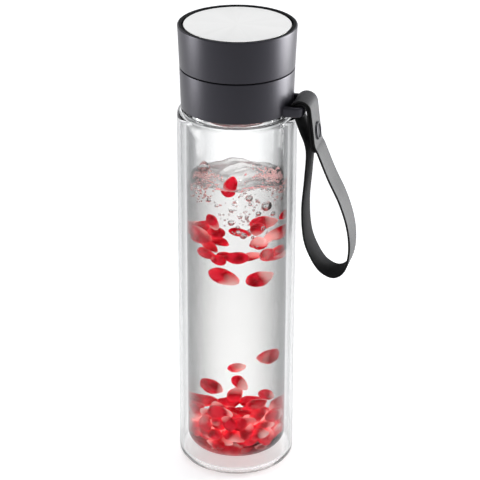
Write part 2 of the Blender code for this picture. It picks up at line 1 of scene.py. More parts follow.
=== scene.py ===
"""Infuser water bottle: the finished look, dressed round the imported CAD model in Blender.

Metres, +Z up. The bottle stands on the origin, and the collar's lug and the strap lie along +X.
"""

import json
import math
import random

import bmesh
import bpy
from mathutils import Matrix, Vector


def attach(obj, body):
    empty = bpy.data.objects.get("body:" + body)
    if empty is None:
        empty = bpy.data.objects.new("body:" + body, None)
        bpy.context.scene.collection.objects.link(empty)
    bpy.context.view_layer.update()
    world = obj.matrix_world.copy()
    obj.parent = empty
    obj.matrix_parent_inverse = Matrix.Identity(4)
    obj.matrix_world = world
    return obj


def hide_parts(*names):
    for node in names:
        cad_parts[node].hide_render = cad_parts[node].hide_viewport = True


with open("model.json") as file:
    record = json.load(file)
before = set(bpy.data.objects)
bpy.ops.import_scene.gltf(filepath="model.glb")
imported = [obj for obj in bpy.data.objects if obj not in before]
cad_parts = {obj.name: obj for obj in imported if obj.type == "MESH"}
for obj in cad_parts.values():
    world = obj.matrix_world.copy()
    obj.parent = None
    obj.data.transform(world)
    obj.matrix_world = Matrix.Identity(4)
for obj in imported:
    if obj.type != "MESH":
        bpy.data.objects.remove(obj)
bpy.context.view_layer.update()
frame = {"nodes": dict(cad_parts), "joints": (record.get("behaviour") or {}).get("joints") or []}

# The photographer's camera: a long lens a little over a metre away, looking down on the bottle.
# Its place was found from the round edges and the straight sides of the bottle.
CAMERA_PLACE = Vector((0.27706, -1.10376, 0.64840))
CAMERA_RIGHT = Vector((0.97030, 0.24192, 0.0))
CAMERA_UP = Vector((-0.09948, 0.39897, 0.91155))
CAMERA_ROLL = math.radians(0.20)
CAMERA_LENS = 166.88
CAMERA_SENSOR = 36.0


def in_scene(name, data):
    """A new object of the data, linked to the scene."""
    made = bpy.data.objects.new(name, data)
    bpy.context.scene.collection.objects.link(made)
    return made


camera_right = CAMERA_RIGHT * math.cos(CAMERA_ROLL) + CAMERA_UP * math.sin(CAMERA_ROLL)
camera_up = CAMERA_UP * math.cos(CAMERA_ROLL) - CAMERA_RIGHT * math.sin(CAMERA_ROLL)
camera_back = camera_right.cross(camera_up)
camera_data = bpy.data.cameras.new("photo_camera")
camera_data.lens = CAMERA_LENS
camera_data.sensor_width = CAMERA_SENSOR
camera = in_scene("photo_camera", camera_data)
camera_turn = Matrix((camera_right, camera_up, camera_back)).transposed()
camera.matrix_world = Matrix.Translation(CAMERA_PLACE) @ camera_turn.to_4x4()
bpy.context.scene.camera = camera


# The studio: one plain pale floor of backlit opal sheet, with wide soft lights overhead and far behind.
# A tall soft light at each side, a little behind the bottle, draws a bright band on the cap.
FLOOR_SIZE = 6.0
FLOOR_COLOUR = (0.86, 0.86, 0.86)
FLOOR_VALUES = {"Roughness": 0.75, "Emission Color": (1.0, 1.0, 1.0, 1.0), "Emission Strength": 0.54}
FLOOR_VARIATION = 0.01
FLOOR_MOTTLE_SCALE = 3.0
WORLD_COLOUR = (0.93, 0.95, 1.0)
WORLD_STRENGTH = 0.38

# Each light: its place and its target, both as across the view, towards the camera and height,
# then its width, its height, its power in watts and its spread in degrees
SOFT_LIGHTS = (
    ("overhead_light", (0.0, -0.85, 0.95), (0.0, -0.85, 0.0), 0.60, 1.9, 1.3, 60),
    ("right_light", (0.52, -0.14, 0.24), (0.0, 0.0, 0.24), 0.42, 0.44, 1.6, 60),
    ("left_light", (-0.60, -0.01, 0.24), (0.0, 0.0, 0.24), 0.26, 0.44, 0.6, 60),
    ("back_light", (0.0, -1.95, 1.0), (0.0, 0.0, 0.26), 2.0, 0.9, 4.2, 180),
)
STRAIGHT_DOWN = 0.99


def from_view(across, towards, height):
    """A place given across the view and towards the camera from the bottle's axis, and its height."""
    ahead = Vector((CAMERA_PLACE.x, CAMERA_PLACE.y, 0)).normalized()
    aside = Vector((-ahead.y, ahead.x, 0))
    return aside * across + ahead * towards + Vector((0, 0, height))


def set_inputs(tree, made, values):
    """Each named input of the node joined to a socket or set to a value."""
    for name, value in values.items():
        if isinstance(value, bpy.types.NodeSocket):
            tree.links.new(value, made.inputs[name])
        else:
            made.inputs[name].default_value = value


def node(tree, kind, output, inputs=None, **settings):
    """What a new node gives, with its inputs and its settings."""
    made = tree.nodes.new(kind)
    for name, value in settings.items():
        setattr(made, name, value)
    set_inputs(tree, made, inputs or {})
    return made.outputs[output]


def stretched(tree, value, lowest, highest):
    """The value drawn out so that lowest becomes 0 and highest becomes 1."""
    inputs = {"Value": value, "From Min": lowest, "From Max": highest}
    return node(tree, "ShaderNodeMapRange", "Result", inputs)


def mixed(tree, share, first, second):
    """Two colours mixed by a share; the first may be a socket."""
    if not isinstance(first, bpy.types.NodeSocket):
        first = (*first, 1.0)
    inputs = {"Factor": share, "A": first, "B": (*second, 1.0)}
    return node(tree, "ShaderNodeMix", "Result", inputs, data_type="RGBA")


def noise_over(tree, scale, detail=4.0):
    """A fine noise over the piece, from 0 to 1."""
    place = node(tree, "ShaderNodeTexCoord", "Object")
    inputs = {"Vector": place, "Scale": scale, "Detail": detail}
    return node(tree, "ShaderNodeTexNoise", "Fac", inputs)


def tinted_noise(tree, first, second, scale, detail=4.0, contrast=0.0):
    """A soft mix of two colours by a fine noise over the piece, ready for a colour socket."""
    share = stretched(tree, noise_over(tree, scale, detail), contrast, 1 - contrast)
    return mixed(tree, share, first, second)


def new_material(name):
    """A material with its tree and its shader."""
    made = bpy.data.materials.new(name)
    made.use_nodes = True
    return made, made.node_tree, made.node_tree.nodes["Principled BSDF"]


def mottled(name, first, second, scale, values, contrast=0.0):
    """A material mottled between two colours, its other values set on the shader's own sockets."""
    made, tree, shader = new_material(name)
    tint = tinted_noise(tree, first, second, scale, contrast=contrast)
    set_inputs(tree, shader, {"Base Color": tint} | values)
    return made


floor_half = FLOOR_SIZE / 2
floor_corners = [(x * floor_half, y * floor_half, 0) for x, y in ((-1, -1), (1, -1), (1, 1), (-1, 1))]
floor_mesh = bpy.data.meshes.new("floor")
floor_mesh.from_pydata(floor_corners, [], [(0, 1, 2, 3)])
floor_light = [share + FLOOR_VARIATION for share in FLOOR_COLOUR]
floor_finish = mottled("pale_floor", FLOOR_COLOUR, floor_light, FLOOR_MOTTLE_SCALE, FLOOR_VALUES)
floor_mesh.materials.append(floor_finish)
floor = in_scene("floor", floor_mesh)

world = bpy.data.worlds.new("studio")
world.use_nodes = True
world_values = {"Color": (*WORLD_COLOUR, 1.0), "Strength": WORLD_STRENGTH}
set_inputs(world.node_tree, world.node_tree.nodes["Background"], world_values)
bpy.context.scene.world = world
bpy.context.scene.view_settings.view_transform = "Standard"

for light_name, place, target, width, height, power, cone in SOFT_LIGHTS:
    light_data = bpy.data.lights.new(light_name, "AREA")
    light_data.shape = "RECTANGLE"
    light_data.size = width
    light_data.size_y = height
    light_data.energy = power
    light_data.spread = math.radians(cone)
    light = in_scene(light_name, light_data)
    light_back = (from_view(*place) - from_view(*target)).normalized()
    upward = from_view(0, -1, 0) if light_back.z > STRAIGHT_DOWN else Vector((0, 0, 1))
    light_right = upward.cross(light_back).normalized()
    light_turn = Matrix((light_right, light_back.cross(light_right), light_back)).transposed()
    light.matrix_world = Matrix.Translation(from_view(*place)) @ light_turn.to_4x4()


# The bottle: two walls of clear borosilicate fused at the neck, with a sealed air jacket between them.
# The lathe shapes the thread on the neck; the skin and the jacket are two surfaces of one piece of glass.
ROUND_SIDES = 160
FILLET_STEPS = 6
SHARP_ANGLE = math.radians(35)
THREAD_LEAD = 0.006
THREAD_HALF_WIDTH = 0.0011
THREAD_FADE = 0.0015
THREAD_STEP = 0.00035
SAME_PLACE = 0.000001
BODY_RADIUS = 0.0330
BODY_HEIGHT = 0.2160
BODY_CORNER = 0.0070
SHOULDER = 0.0050
JACKET_RADIUS = 0.0310
JACKET_FLOOR = 0.0028
JACKET_CORNER = 0.0050
JACKET_TOP = 0.2136
JACKET_TOP_FILLET = 0.0014
TUBE_RADIUS = 0.02805
TUBE_CORNER = 0.0090
TUBE_BASE = 0.0085
TUBE_FLOOR = 0.0110
TUBE_BORE = 0.02605
TUBE_BORE_CORNER = 0.0070
TUBE_STEP = 0.2106
NECK_STEP = 0.2137
NECK_RADIUS = 0.0266
NECK_BORE = 0.0246
NECK_FILLET = 0.0010
NECK_LIP_FILLET = 0.0009
NECK_TOP = 0.2320
NECK_THREAD = (0.2195, 0.2292, 0.00045, 0.0)
GLASS_TINT = (0.984, 0.985, 0.983)
GLASS_GLOSS = (0.01, 0.01, 0.01)
# Painted shade: each glass surface's colour darkens towards the edges of its upright walls, standing in for
# the dark surroundings seen through the glass
WALL_PAINTED_SHADE = (0.04, 0.045, 0.05)
WALL_PAINTED_SHADE_RANGE = (0.38, 0.95)
JACKET_PAINTED_SHADE = (0.16, 0.165, 0.17)
JACKET_PAINTED_SHADE_RANGE = (0.30, 0.90)
TUBE_PAINTED_SHADE = (0.09, 0.095, 0.10)
TUBE_PAINTED_SHADE_RANGE = (0.08, 0.85)
GLASS_IOR = 1.474
GLASS_DRIFT = 0.01
GLASS_DRIFT_SCALE = 40.0
UPRIGHT_SLOPES = (0.4, 0.1)


def rounded(corners, closed=False):
    """Corners of (radius, height, fillet) as a path of points, each fillet drawn as an arc."""
    path = []
    last = len(corners) - 1
    for number, (radius, height, fillet) in enumerate(corners):
        here = Vector((radius, height))
        if fillet == 0:
            path.append(here)
            continue
        before = Vector(corners[number - 1][:2])
        after = Vector(corners[0 if closed and number == last else number + 1][:2])
        back = (before - here).normalized()
        ahead = (after - here).normalized()
        half = back.angle(ahead) / 2
        centre = here + (back + ahead).normalized() * (fillet / math.sin(half))
        start = here + back * (fillet / math.tan(half)) - centre
        end = here + ahead * (fillet / math.tan(half)) - centre
        for step in range(FILLET_STEPS + 1):
            path.append(centre + start.lerp(end, step / FILLET_STEPS).normalized() * fillet)
    return path


def thread_rise(angle, height, thread):
    """How far a screw thread stands out at a place: a rounded ridge that fades in and out at its ends."""
    low, high, depth, start = thread
    along = (height - start - THREAD_LEAD * angle / math.tau) % THREAD_LEAD
    away = min(along, THREAD_LEAD - along)
    if away >= THREAD_HALF_WIDTH:
        return 0.0
    ridge = math.cos(away / THREAD_HALF_WIDTH * math.pi / 2)
    fade = min(1.0, max(0.0, (height - low) / THREAD_FADE), max(0.0, (high - height) / THREAD_FADE))
    return depth * ridge * max(fade, 0.0)


def threaded(path, radius, thread):
    """The path with its straight side at that radius cut into short steps for a thread to stand on."""
    low, high = thread[:2]
    finer = []
    for before, after in zip(path, path[1:]):
        finer.append(before)
        upright = abs(before.x - radius) < SAME_PLACE and abs(after.x - radius) < SAME_PLACE
        if upright and abs(after.y - before.y) > high - low:
            first, last = (low, high) if after.y > before.y else (high, low)
            count = math.ceil((high - low) / THREAD_STEP)
            finer += [Vector((radius, first + (last - first) * i / count)) for i in range(count + 1)]
    finer.append(path[-1])
    return finer


def ring_of(bm, radius, sides, height_at, swell=lambda angle: 0.0):
    """One ring of points about Z, or its single middle point given once for each side."""
    if radius < SAME_PLACE / 10:
        return [bm.verts.new((0, 0, height_at(0, 0)))] * sides
    ring = []
    for side in range(sides):
        angle = math.tau * side / sides
        out = radius + swell(angle)
        x, y = out * math.cos(angle), out * math.sin(angle)
        ring.append(bm.verts.new((x, y, height_at(x, y))))
    return ring


def skinned(bm, rings, closed=False):
    """Faces between each ring and the next, turned outwards."""
    made = []
    for lower, upper in zip(rings, rings[1:] + rings[:1] if closed else rings[1:]):
        for side in range(len(lower)):
            after = (side + 1) % len(lower)
            corners = list(dict.fromkeys((lower[side], lower[after], upper[after], upper[side])))
            if len(corners) > 2:
                made.append(bm.faces.new(corners))
    bmesh.ops.recalc_face_normals(bm, faces=made)
    return made


def turned_shell(bm, path, closed=False, sides=ROUND_SIDES, threads=()):
    """A path of (radius, height) turned about Z into one closed surface of the mesh, its faces outwards."""
    for radius, thread in threads:
        path = threaded(path, radius, thread)
    rings = []
    for point in path:
        near = [thread for radius, thread in threads if abs(point.x - radius) < SAME_PLACE]
        here = [thread for thread in near if thread[0] <= point.y <= thread[1]]
        rings.append(
            ring_of(
                bm,
                point.x,
                sides,
                lambda x, y: point.y,
                lambda angle: sum(thread_rise(angle, point.y, thread) for thread in here),
            )
        )
    return skinned(bm, rings, closed)


def lathe(path, **options):
    """A new mesh that holds one turned shell."""
    bm = bmesh.new()
    turned_shell(bm, path, **options)
    return bm


def calculate(tree, operation, first, second=0.0):
    """A Math node on two sockets or numbers."""
    return node(tree, "ShaderNodeMath", "Value", {0: first, 1: second}, operation=operation)


def product(tree, first, *factors):
    """The first socket multiplied by each factor in turn."""
    for factor in factors:
        first = calculate(tree, "MULTIPLY", first, factor)
    return first


def part_of(tree, vector, axis):
    """One coordinate of a vector socket."""
    return node(tree, "ShaderNodeSeparateXYZ", axis, {"Vector": vector})


def slope_of(tree):
    """How level the surface lies: 0 on an upright wall, 1 on a flat top."""
    normal = node(tree, "ShaderNodeNewGeometry", "Normal")
    return calculate(tree, "ABSOLUTE", part_of(tree, normal, "Z"))


def painted_edge_shade(tree, lowest, highest):
    """How much painted shade darkens clear glass or water: from 0 where an upright wall faces the eye to 1
    at its edges.
    """
    facing = node(tree, "ShaderNodeLayerWeight", "Facing", {"Blend": 0.5})
    upright = stretched(tree, slope_of(tree), *UPRIGHT_SLOPES)
    return product(tree, stretched(tree, facing, lowest, highest), upright)


def mesh_of(name, bm):
    """The finished bmesh as a mesh."""
    mesh = bpy.data.meshes.new(name)
    bm.to_mesh(mesh)
    bm.free()
    return mesh


def placed(name, mesh, finishes, body, slot_name, *nodes, sharp=SHARP_ANGLE):
    """A smooth piece that rides on its body, in place of the CAD nodes that it stands for."""
    for finish in finishes:
        mesh.materials.append(finish)
    mesh.shade_smooth()
    mesh.set_sharp_from_angle(angle=sharp)
    piece = in_scene(name, mesh)
    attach(piece, body)
    if nodes:
        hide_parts(*nodes)


def finished(name, bm, finishes, body, slot_name, *nodes):
    """The bmesh as a finished piece."""
    placed(name, mesh_of(name, bm), finishes, body, slot_name, *nodes)


glass_skin = rounded(
    [
        (0, 0, 0),
        (BODY_RADIUS, 0, BODY_CORNER),
        (BODY_RADIUS, BODY_HEIGHT, SHOULDER),
        (NECK_RADIUS, BODY_HEIGHT, NECK_FILLET),
        (NECK_RADIUS, NECK_TOP, NECK_LIP_FILLET),
        (NECK_BORE, NECK_TOP, NECK_LIP_FILLET),
        (NECK_BORE, NECK_STEP, NECK_FILLET),
        (TUBE_BORE, TUBE_STEP, NECK_FILLET),
        (TUBE_BORE, TUBE_FLOOR, TUBE_BORE_CORNER),
        (0, TUBE_FLOOR, 0),
    ]
)
glass_jacket = rounded(
    [
        (0, JACKET_FLOOR, 0),
        (JACKET_RADIUS, JACKET_FLOOR, JACKET_CORNER),
        (JACKET_RADIUS, JACKET_TOP, JACKET_TOP_FILLET),
        (TUBE_RADIUS, JACKET_TOP, JACKET_TOP_FILLET),
        (TUBE_RADIUS, TUBE_BASE, TUBE_CORNER),
        (0, TUBE_BASE, 0),
    ]
)


def clear_finish(name, ior, tint, drift, scale, shade_colour, shade_range, leaving_only=False):
    """Clear glass or water: faintly uneven in tint, with painted shade that darkens its colour where an
    upright wall turns away.

    With leaving_only the painted shade darkens only the light that leaves it, so that what floats inside
    keeps its colour.
    """
    made, tree, shader = new_material(name)
    shade = painted_edge_shade(tree, *shade_range)
    if leaving_only:
        leaving = node(tree, "ShaderNodeNewGeometry", "Backfacing")
        shade = product(tree, shade, leaving)
    clear = tinted_noise(tree, tint, [share + drift for share in tint], scale)
    values = {"Base Color": mixed(tree, shade, clear, shade_colour), "Roughness": 0.0, "IOR": ior}
    values |= {"Transmission Weight": 1.0, "Specular Tint": (*GLASS_GLOSS, 1.0)}
    set_inputs(tree, shader, values)
    return made, tree, shader


glass_look = (GLASS_IOR, GLASS_TINT, GLASS_DRIFT, GLASS_DRIFT_SCALE)
glass_finishes = []
for finish_name, shade_colour, shade_range in (
    ("clear_glass", TUBE_PAINTED_SHADE, TUBE_PAINTED_SHADE_RANGE),
    ("clear_glass_wall", WALL_PAINTED_SHADE, WALL_PAINTED_SHADE_RANGE),
    ("clear_glass_jacket", JACKET_PAINTED_SHADE, JACKET_PAINTED_SHADE_RANGE),
):
    glass_finishes.append(clear_finish(finish_name, *glass_look, shade_colour, shade_range)[0])
glass_bm = lathe(glass_skin, threads=((NECK_RADIUS, NECK_THREAD),))
bmesh.ops.reverse_faces(glass_bm, faces=turned_shell(glass_bm, glass_jacket))
for face in glass_bm.faces:
    away = face.calc_center_median().xy.length
    on_wall = away > (JACKET_RADIUS + BODY_RADIUS) / 2
    on_tube = away < (TUBE_RADIUS + JACKET_RADIUS) / 2
    face.material_index = 0 if on_tube else 1 if on_wall else 2
glass_nodes = ("outer_glass", "inner_glass")
finished("double_walled_glass", glass_bm, glass_finishes, "bottle", "clear_glass", *glass_nodes)


# What the bottle holds: still water with a rippled surface, air bubbles and pomegranate arils.
# The water reaches a tenth of a millimetre into the glass; each bubble is a hollow in the water.
WATER_OVERLAP = 0.0001
WATER_LEVEL = 0.1760
WATER_IOR = 1.333
WATER_COLOUR = (0.88, 0.87, 0.86)
# Painted shade: the water's colour darkens where light leaves it through an upright wall turned away,
# standing in for the dark surroundings seen through it
WATER_PAINTED_SHADE = (0.020, 0.021, 0.022)
WATER_PAINTED_SHADE_RANGE = (-0.05, 0.23)
WATER_DRIFT = 0.03
WATER_DRIFT_SCALE = 60.0
WATER_RINGS = 44
WATER_RING_CROWDING = 1.3
WATER_SIDES = 144
# Painted light: the water's level top, and the tops of the bubbles under it, glow faintly white to lighten
# the surface
SURFACE_GLOW_COLOUR = (1.0, 0.97, 0.96)
GLOW_ABOVE = 0.15
GLOW_SLOPES = (0.55, 0.95)
GLOW_STRENGTH = 0.12

# Ripples: rise, length, direction in radians and shift
RIPPLES = (
    (0.0008, 0.0230, 0.5, 0.0),
    (0.0004, 0.0130, 2.1, 1.2),
    (0.0002, 0.0076, 3.9, 2.6),
    (0.00008, 0.0040, 5.1, 0.7),
)
# Swells: place across the view and towards the camera, rise and spread
SWELLS = (
    (-0.0180, 0.0030, 0.0085, 0.0062),
    (-0.0120, 0.0110, 0.0030, 0.0060),
    (0.0150, -0.0060, 0.0022, 0.0130),
    (0.0020, 0.0040, -0.0022, 0.0110),
)
# Folds: distance from the axis at each end, angle at each end in degrees, rise and width
FOLDS = (
    (0.0225, 0.0245, -40, 110, 0.0012, 0.0011),
    (0.0090, 0.0195, 200, -50, 0.0011, 0.0010),
    (0.0040, 0.0130, 150, -20, 0.0007, 0.0008),
)
# Groups of bubbles: middle across, towards and up, spread, spread in height and count
BUBBLE_GROUPS = (
    (0.0040, 0.0100, 0.1590, 0.0140, 0.0180, 150),
    (-0.0170, 0.0060, 0.1735, 0.0055, 0.0060, 45),
    (0.0170, 0.0000, 0.1700, 0.0060, 0.0050, 45),
    (0.0060, 0.0120, 0.1480, 0.0100, 0.0080, 30),
)
BUBBLE_SEED = 11
BUBBLE_SMALLNESS = 3
LARGE_ROUNDNESS = 4
SMALL_ROUNDNESS = 3
BUBBLE_SPACE = 0.0002
CONTENTS_CLEARANCE = 0.0002
BUBBLE_RADII = (0.0003, 0.0012)

# Large bubbles: across, towards, up and radius
LARGE_BUBBLES = (
    (-0.0180, 0.0032, 0.1806, 0.0026),
    (-0.0030, 0.0170, 0.1700, 0.0021),
    (0.0059, 0.0180, 0.1700, 0.0019),
    (-0.0004, 0.0160, 0.1685, 0.0017),
    (0.0146, 0.0164, 0.1643, 0.0029),
    (-0.0026, 0.0140, 0.1542, 0.0017),
    (0.0032, 0.0160, 0.1468, 0.0018),
    (0.0075, 0.0120, 0.1514, 0.0021),
    (0.0120, 0.0180, 0.1442, 0.0020),
    (-0.0172, 0.0120, 0.1593, 0.0020),
    (0.0102, 0.0140, 0.1594, 0.0014),
    (0.0048, 0.0170, 0.1585, 0.0011),
    (-0.0055, 0.0160, 0.1491, 0.0014),
    (0.0006, 0.0100, 0.1378, 0.0014),
    (-0.0090, 0.0160, 0.1643, 0.0013),
    (0.0169, 0.0100, 0.1575, 0.0014),
    (-0.0029, 0.0170, 0.1622, 0.0010),
    (0.0129, 0.0150, 0.1506, 0.0013),
    (-0.0133, 0.0140, 0.1673, 0.0013),
)
ARIL_WIDTH_SHARE = 0.82
ARIL_SHAPE = {
    "Width Share": ARIL_WIDTH_SHARE,
    "Flat Share": 0.86,
    "Segments": 16,
    "Rings": 12,
    "Dent Depth": 0.0020,
    "Dent Scale": 150.0,
}
ARIL_NARROWING = 0.30
ARIL_SEED = 5
ARIL_LENGTH = 0.0125
ARIL_LENGTH_SHARES = (0.9, 1.12)
ARIL_SWELL = 1.25
SINGLE_LEAN = 0.5
LOOSE_LEAN = 1.2
PILE_COUNT = 66
PILE_HEIGHTS = (0.0138, 0.0320)
PILE_RADIUS = 0.0208
CLOUD_COUNT = 12
CLOUD_GAP = 0.0085
CLOUD_HEIGHTS = (0.1300, 0.1480)

# Groups of pulp scraps, given as the bubbles are
PULP_GROUPS = (
    (-0.0170, 0.0040, 0.1745, 0.0110, 0.0100, 180),
    (0.0180, -0.0030, 0.1730, 0.0110, 0.0060, 190),
    (0.0215, 0.0000, 0.1755, 0.0070, 0.0050, 150),
    (0.0050, 0.0100, 0.1690, 0.0160, 0.0060, 20),
)
PULP_LENGTHS = (0.0008, 0.0026)
PULP_PALE = (0.93, 0.66, 0.64)
PULP_PINK = (0.85, 0.20, 0.24)
PULP_MOTTLE_SCALE = 300.0
PULP_CONTRAST = 0.35
# Painted light: the scraps glow pale pink
PULP_VALUES_WITH_GLOW = {"Roughness": 0.35, "Emission Color": (*PULP_PALE, 1.0), "Emission Strength": 0.35}
PULP_SHAPE = ARIL_SHAPE | {"Segments": 8, "Rings": 5, "Dent Depth": 0.0004, "Dent Scale": 900.0}
ARIL_SPACING = 0.0056
ARIL_CROWDING = 0.8
ARIL_PATIENCE = 0.97
ARIL_DEEP = (0.36, 0.0, 0.004)
ARIL_RED = (0.87, 0.016, 0.040)
ARIL_TIP = (1.0, 0.53, 0.50)
ARIL_RIPENESS_SCALE = 90.0
ARIL_RIPENESS = 1.5
ARIL_TIP_RANGE = (0.57, 1.05)

# The mottle of the arils: its scale, detail and contrast
ARIL_MOTTLE = (170.0, 5.0, 0.38)
# Painted light: the arils glow in their own colour, which brightens them inside the glass
ARIL_VALUES = {
    "Roughness": 0.12,
    "Emission Strength": 0.68,
    "Specular IOR Level": 0.10,
    "Subsurface Weight": 0.5,
    "Subsurface Radius": (1.0, 0.2, 0.2),
    "Subsurface Scale": 0.003,
}

# Single arils: across the view, towards the camera, up, all in millimetres, then tilt in degrees and length
ARILS = (
    (-11.9, 17.5, 155.0, -60, 9.3),
    (-18.0, 11.7, 144.8, -20, 13.0),
    (-14.4, 12.0, 134.1, -15, 9.9),
    (-6.8, -4.0, 137.3, -25, 8.3),
    (-0.4, 14.0, 132.9, 175, 11.1),
    (-5.7, 10.0, 119.8, -20, 13.8),
    (11.1, 12.0, 119.4, 12, 13.0),
    (18.5, 6.0, 133.2, 190, 9.3),
    (16.0, -4.0, 140.9, 195, 11.5),
    (11.2, 2.0, 150.0, 5, 11.9),
    (20.5, 0.0, 152.7, 60, 7.4),
    (8.3, -10.0, 134.4, 10, 8.5),
    (-4.3, 0.0, 129.7, -5, 7.9),
    (-3.4, 16.0, 175.4, 75, 10.8),
    (4.5, -16.0, 124.4, 20, 8.3),
    (-15.6, -8.0, 143.1, 60, 9.3),
    (1.1, -18.0, 138.6, -40, 8.5),
    (11.7, -14.0, 124.1, -15, 9.1),
    (15.8, 12.0, 69.8, 188, 12.7),
    (0.2, 6.0, 61.8, 20, 8.7),
    (1.7, 14.0, 54.8, -50, 9.8),
    (-12.5, 15.0, 52.3, -25, 12.9),
    (15.0, 12.0, 45.5, -20, 9.3),
    (-0.6, 2.0, 43.0, 70, 9.6),
    (9.4, 10.0, 39.1, 20, 10.2),
    (-8.0, 15.0, 35.4, -15, 12.5),
    (-15.3, 14.0, 28.1, 70, 10.0),
    (-18.5, 8.6, 19.9, 40, 8.6),
    (18.6, 9.1, 29.7, -10, 10.4),
    (3.4, 15.5, 29.0, 15, 12.4),
    (-0.9, 16.0, 20.8, -20, 11.1),
    (11.6, 15.0, 21.4, 10, 11.0),
    (18.6, 6.8, 19.2, 50, 9.5),
    (-5.9, 8.0, 15.2, -25, 10.2),
    (5.4, 8.0, 15.0, 5, 10.7),
    (12.3, 2.0, 15.8, -10, 9.8),
    (-15.9, -8.0, 30.1, 10, 9.1),
)
FLOATING_ARIL = 13


def water_height(x, y):
    """The height of the water's surface at a place: its level, its ripples and its few larger swells."""
    height = WATER_LEVEL
    for rise, length, way, shift in RIPPLES:
        along = x * math.cos(way) + y * math.sin(way)
        height += rise * math.sin(math.tau * along / length + shift)
    for across, towards, rise, spread in SWELLS:
        centre = from_view(across, towards, 0)
        away = (x - centre.x) ** 2 + (y - centre.y) ** 2
        height += rise * math.exp(-away / spread**2 * 2)
    across = Vector((x, y, 0)).dot(from_view(1, 0, 0))
    behind = Vector((x, y, 0)).dot(from_view(0, -1, 0))
    for start, end, angle_from, angle_to, rise, width in FOLDS:
        share = (math.degrees(math.atan2(behind, across)) - angle_from) / (angle_to - angle_from)
        if 0 < share < 1:
            away = math.hypot(x, y) - start - (end - start) * share
            height += rise * math.sin(math.pi * share) * math.exp(-((away / width) ** 2))
    return height


def water_body():
    """The water as one closed surface: the tube's floor and wall, and the rippled top."""
    radius = TUBE_BORE + WATER_OVERLAP
    low = TUBE_FLOOR - WATER_OVERLAP
    wall = rounded([(0, low, 0), (radius, low, TUBE_BORE_CORNER), (radius, WATER_LEVEL, 0)])[:-1]
    bm = bmesh.new()
    rings = [ring_of(bm, point.x, WATER_SIDES, lambda x, y: point.y) for point in wall]
    for number in range(WATER_RINGS + 1):
        share = 1 - (number / WATER_RINGS) ** WATER_RING_CROWDING
        rings.append(ring_of(bm, radius * share, WATER_SIDES, water_height))
    skinned(bm, rings)
    return bm


def new_tree(name, measures=(), counts=()):
    """A Geometry Nodes tree with its named inputs, and what they give."""
    tree = bpy.data.node_groups.new(name, "GeometryNodeTree")
    kinds = {"Geometry": "NodeSocketGeometry"} | dict.fromkeys(measures, "NodeSocketFloat")
    kinds |= dict.fromkeys(counts, "NodeSocketInt") | {"Material": "NodeSocketMaterial"}
    for label, kind in kinds.items():
        tree.interface.new_socket(label, in_out="INPUT", socket_type=kind)
    tree.interface.new_socket("Geometry", in_out="OUTPUT", socket_type="NodeSocketGeometry")
    return tree, tree.nodes.new("NodeGroupInput").outputs


def grown(name, points, tree, values):
    """The plain mesh that the tree makes on the points, with its inputs set by their identifiers."""
    holder = in_scene(name, points)
    step = holder.modifiers.new("grow", "NODES")
    step.node_group = tree
    for item in tree.interface.items_tree:
        if item.in_out == "INPUT" and item.name in values:
            step[item.identifier] = values[item.name]
    depsgraph = bpy.context.evaluated_depsgraph_get()
    made = holder.evaluated_get(depsgraph)
    mesh = bpy.data.meshes.new_from_object(made, preserve_all_data_layers=True, depsgraph=depsgraph)
    bpy.data.objects.remove(holder)
    mesh.materials.clear()
    mesh.materials.append(values["Material"])
    mesh.polygons.foreach_set("material_index", [0] * len(mesh.polygons))
    return mesh


def point_mesh(rows):
    """Loose points from rows of place, axis and size; where the axis is None, nothing is turned."""
    mesh = bpy.data.meshes.new("points")
    mesh.from_pydata([place for place, axis, size in rows], [], [])
    mesh.attributes.new("turn", "FLOAT_VECTOR", "POINT")
    mesh.attributes.new("size", "FLOAT", "POINT")
    for number, (place, axis, size) in enumerate(rows):
        if axis is not None:
            mesh.attributes["turn"].data[number].vector = axis.to_track_quat("Z", "Y").to_euler()
        mesh.attributes["size"].data[number].value = size
    return mesh


def point_value(tree, name, kind):
    """A value that each point carries."""
    return node(tree, "GeometryNodeInputNamedAttribute", "Attribute", {"Name": name}, data_type=kind)


def instances(tree, points, shape):
    """The shape set on every point, turned and sized by the point's own values, then realized."""
    inputs = {"Points": points, "Instance": shape}
    inputs["Rotation"] = point_value(tree, "turn", "FLOAT_VECTOR")
    inputs["Scale"] = point_value(tree, "size", "FLOAT")
    spread = node(tree, "GeometryNodeInstanceOnPoints", "Instances", inputs)
    return node(tree, "GeometryNodeRealizeInstances", "Geometry", {"Geometry": spread})


def ended(tree, geometry, given):
    """The tree with its last steps: its material, then its output."""
    inputs = {"Geometry": geometry, "Material": given["Material"]}
    painted = node(tree, "GeometryNodeSetMaterial", "Geometry", inputs)
    set_inputs(tree, tree.nodes.new("NodeGroupOutput"), {"Geometry": painted})
    return tree


def bubble_tree():
    """Round bubbles on points, their faces turned inwards because they are hollows in the water."""
    tree, given = new_tree("bubbles", counts=("Bubble Roundness",))
    inputs = {"Radius": 1.0, "Subdivisions": given["Bubble Roundness"]}
    ball = node(tree, "GeometryNodeMeshIcoSphere", "Mesh", inputs)
    made = instances(tree, given["Geometry"], ball)
    return ended(tree, node(tree, "GeometryNodeFlipFaces", "Mesh", {"Mesh": made}), given)


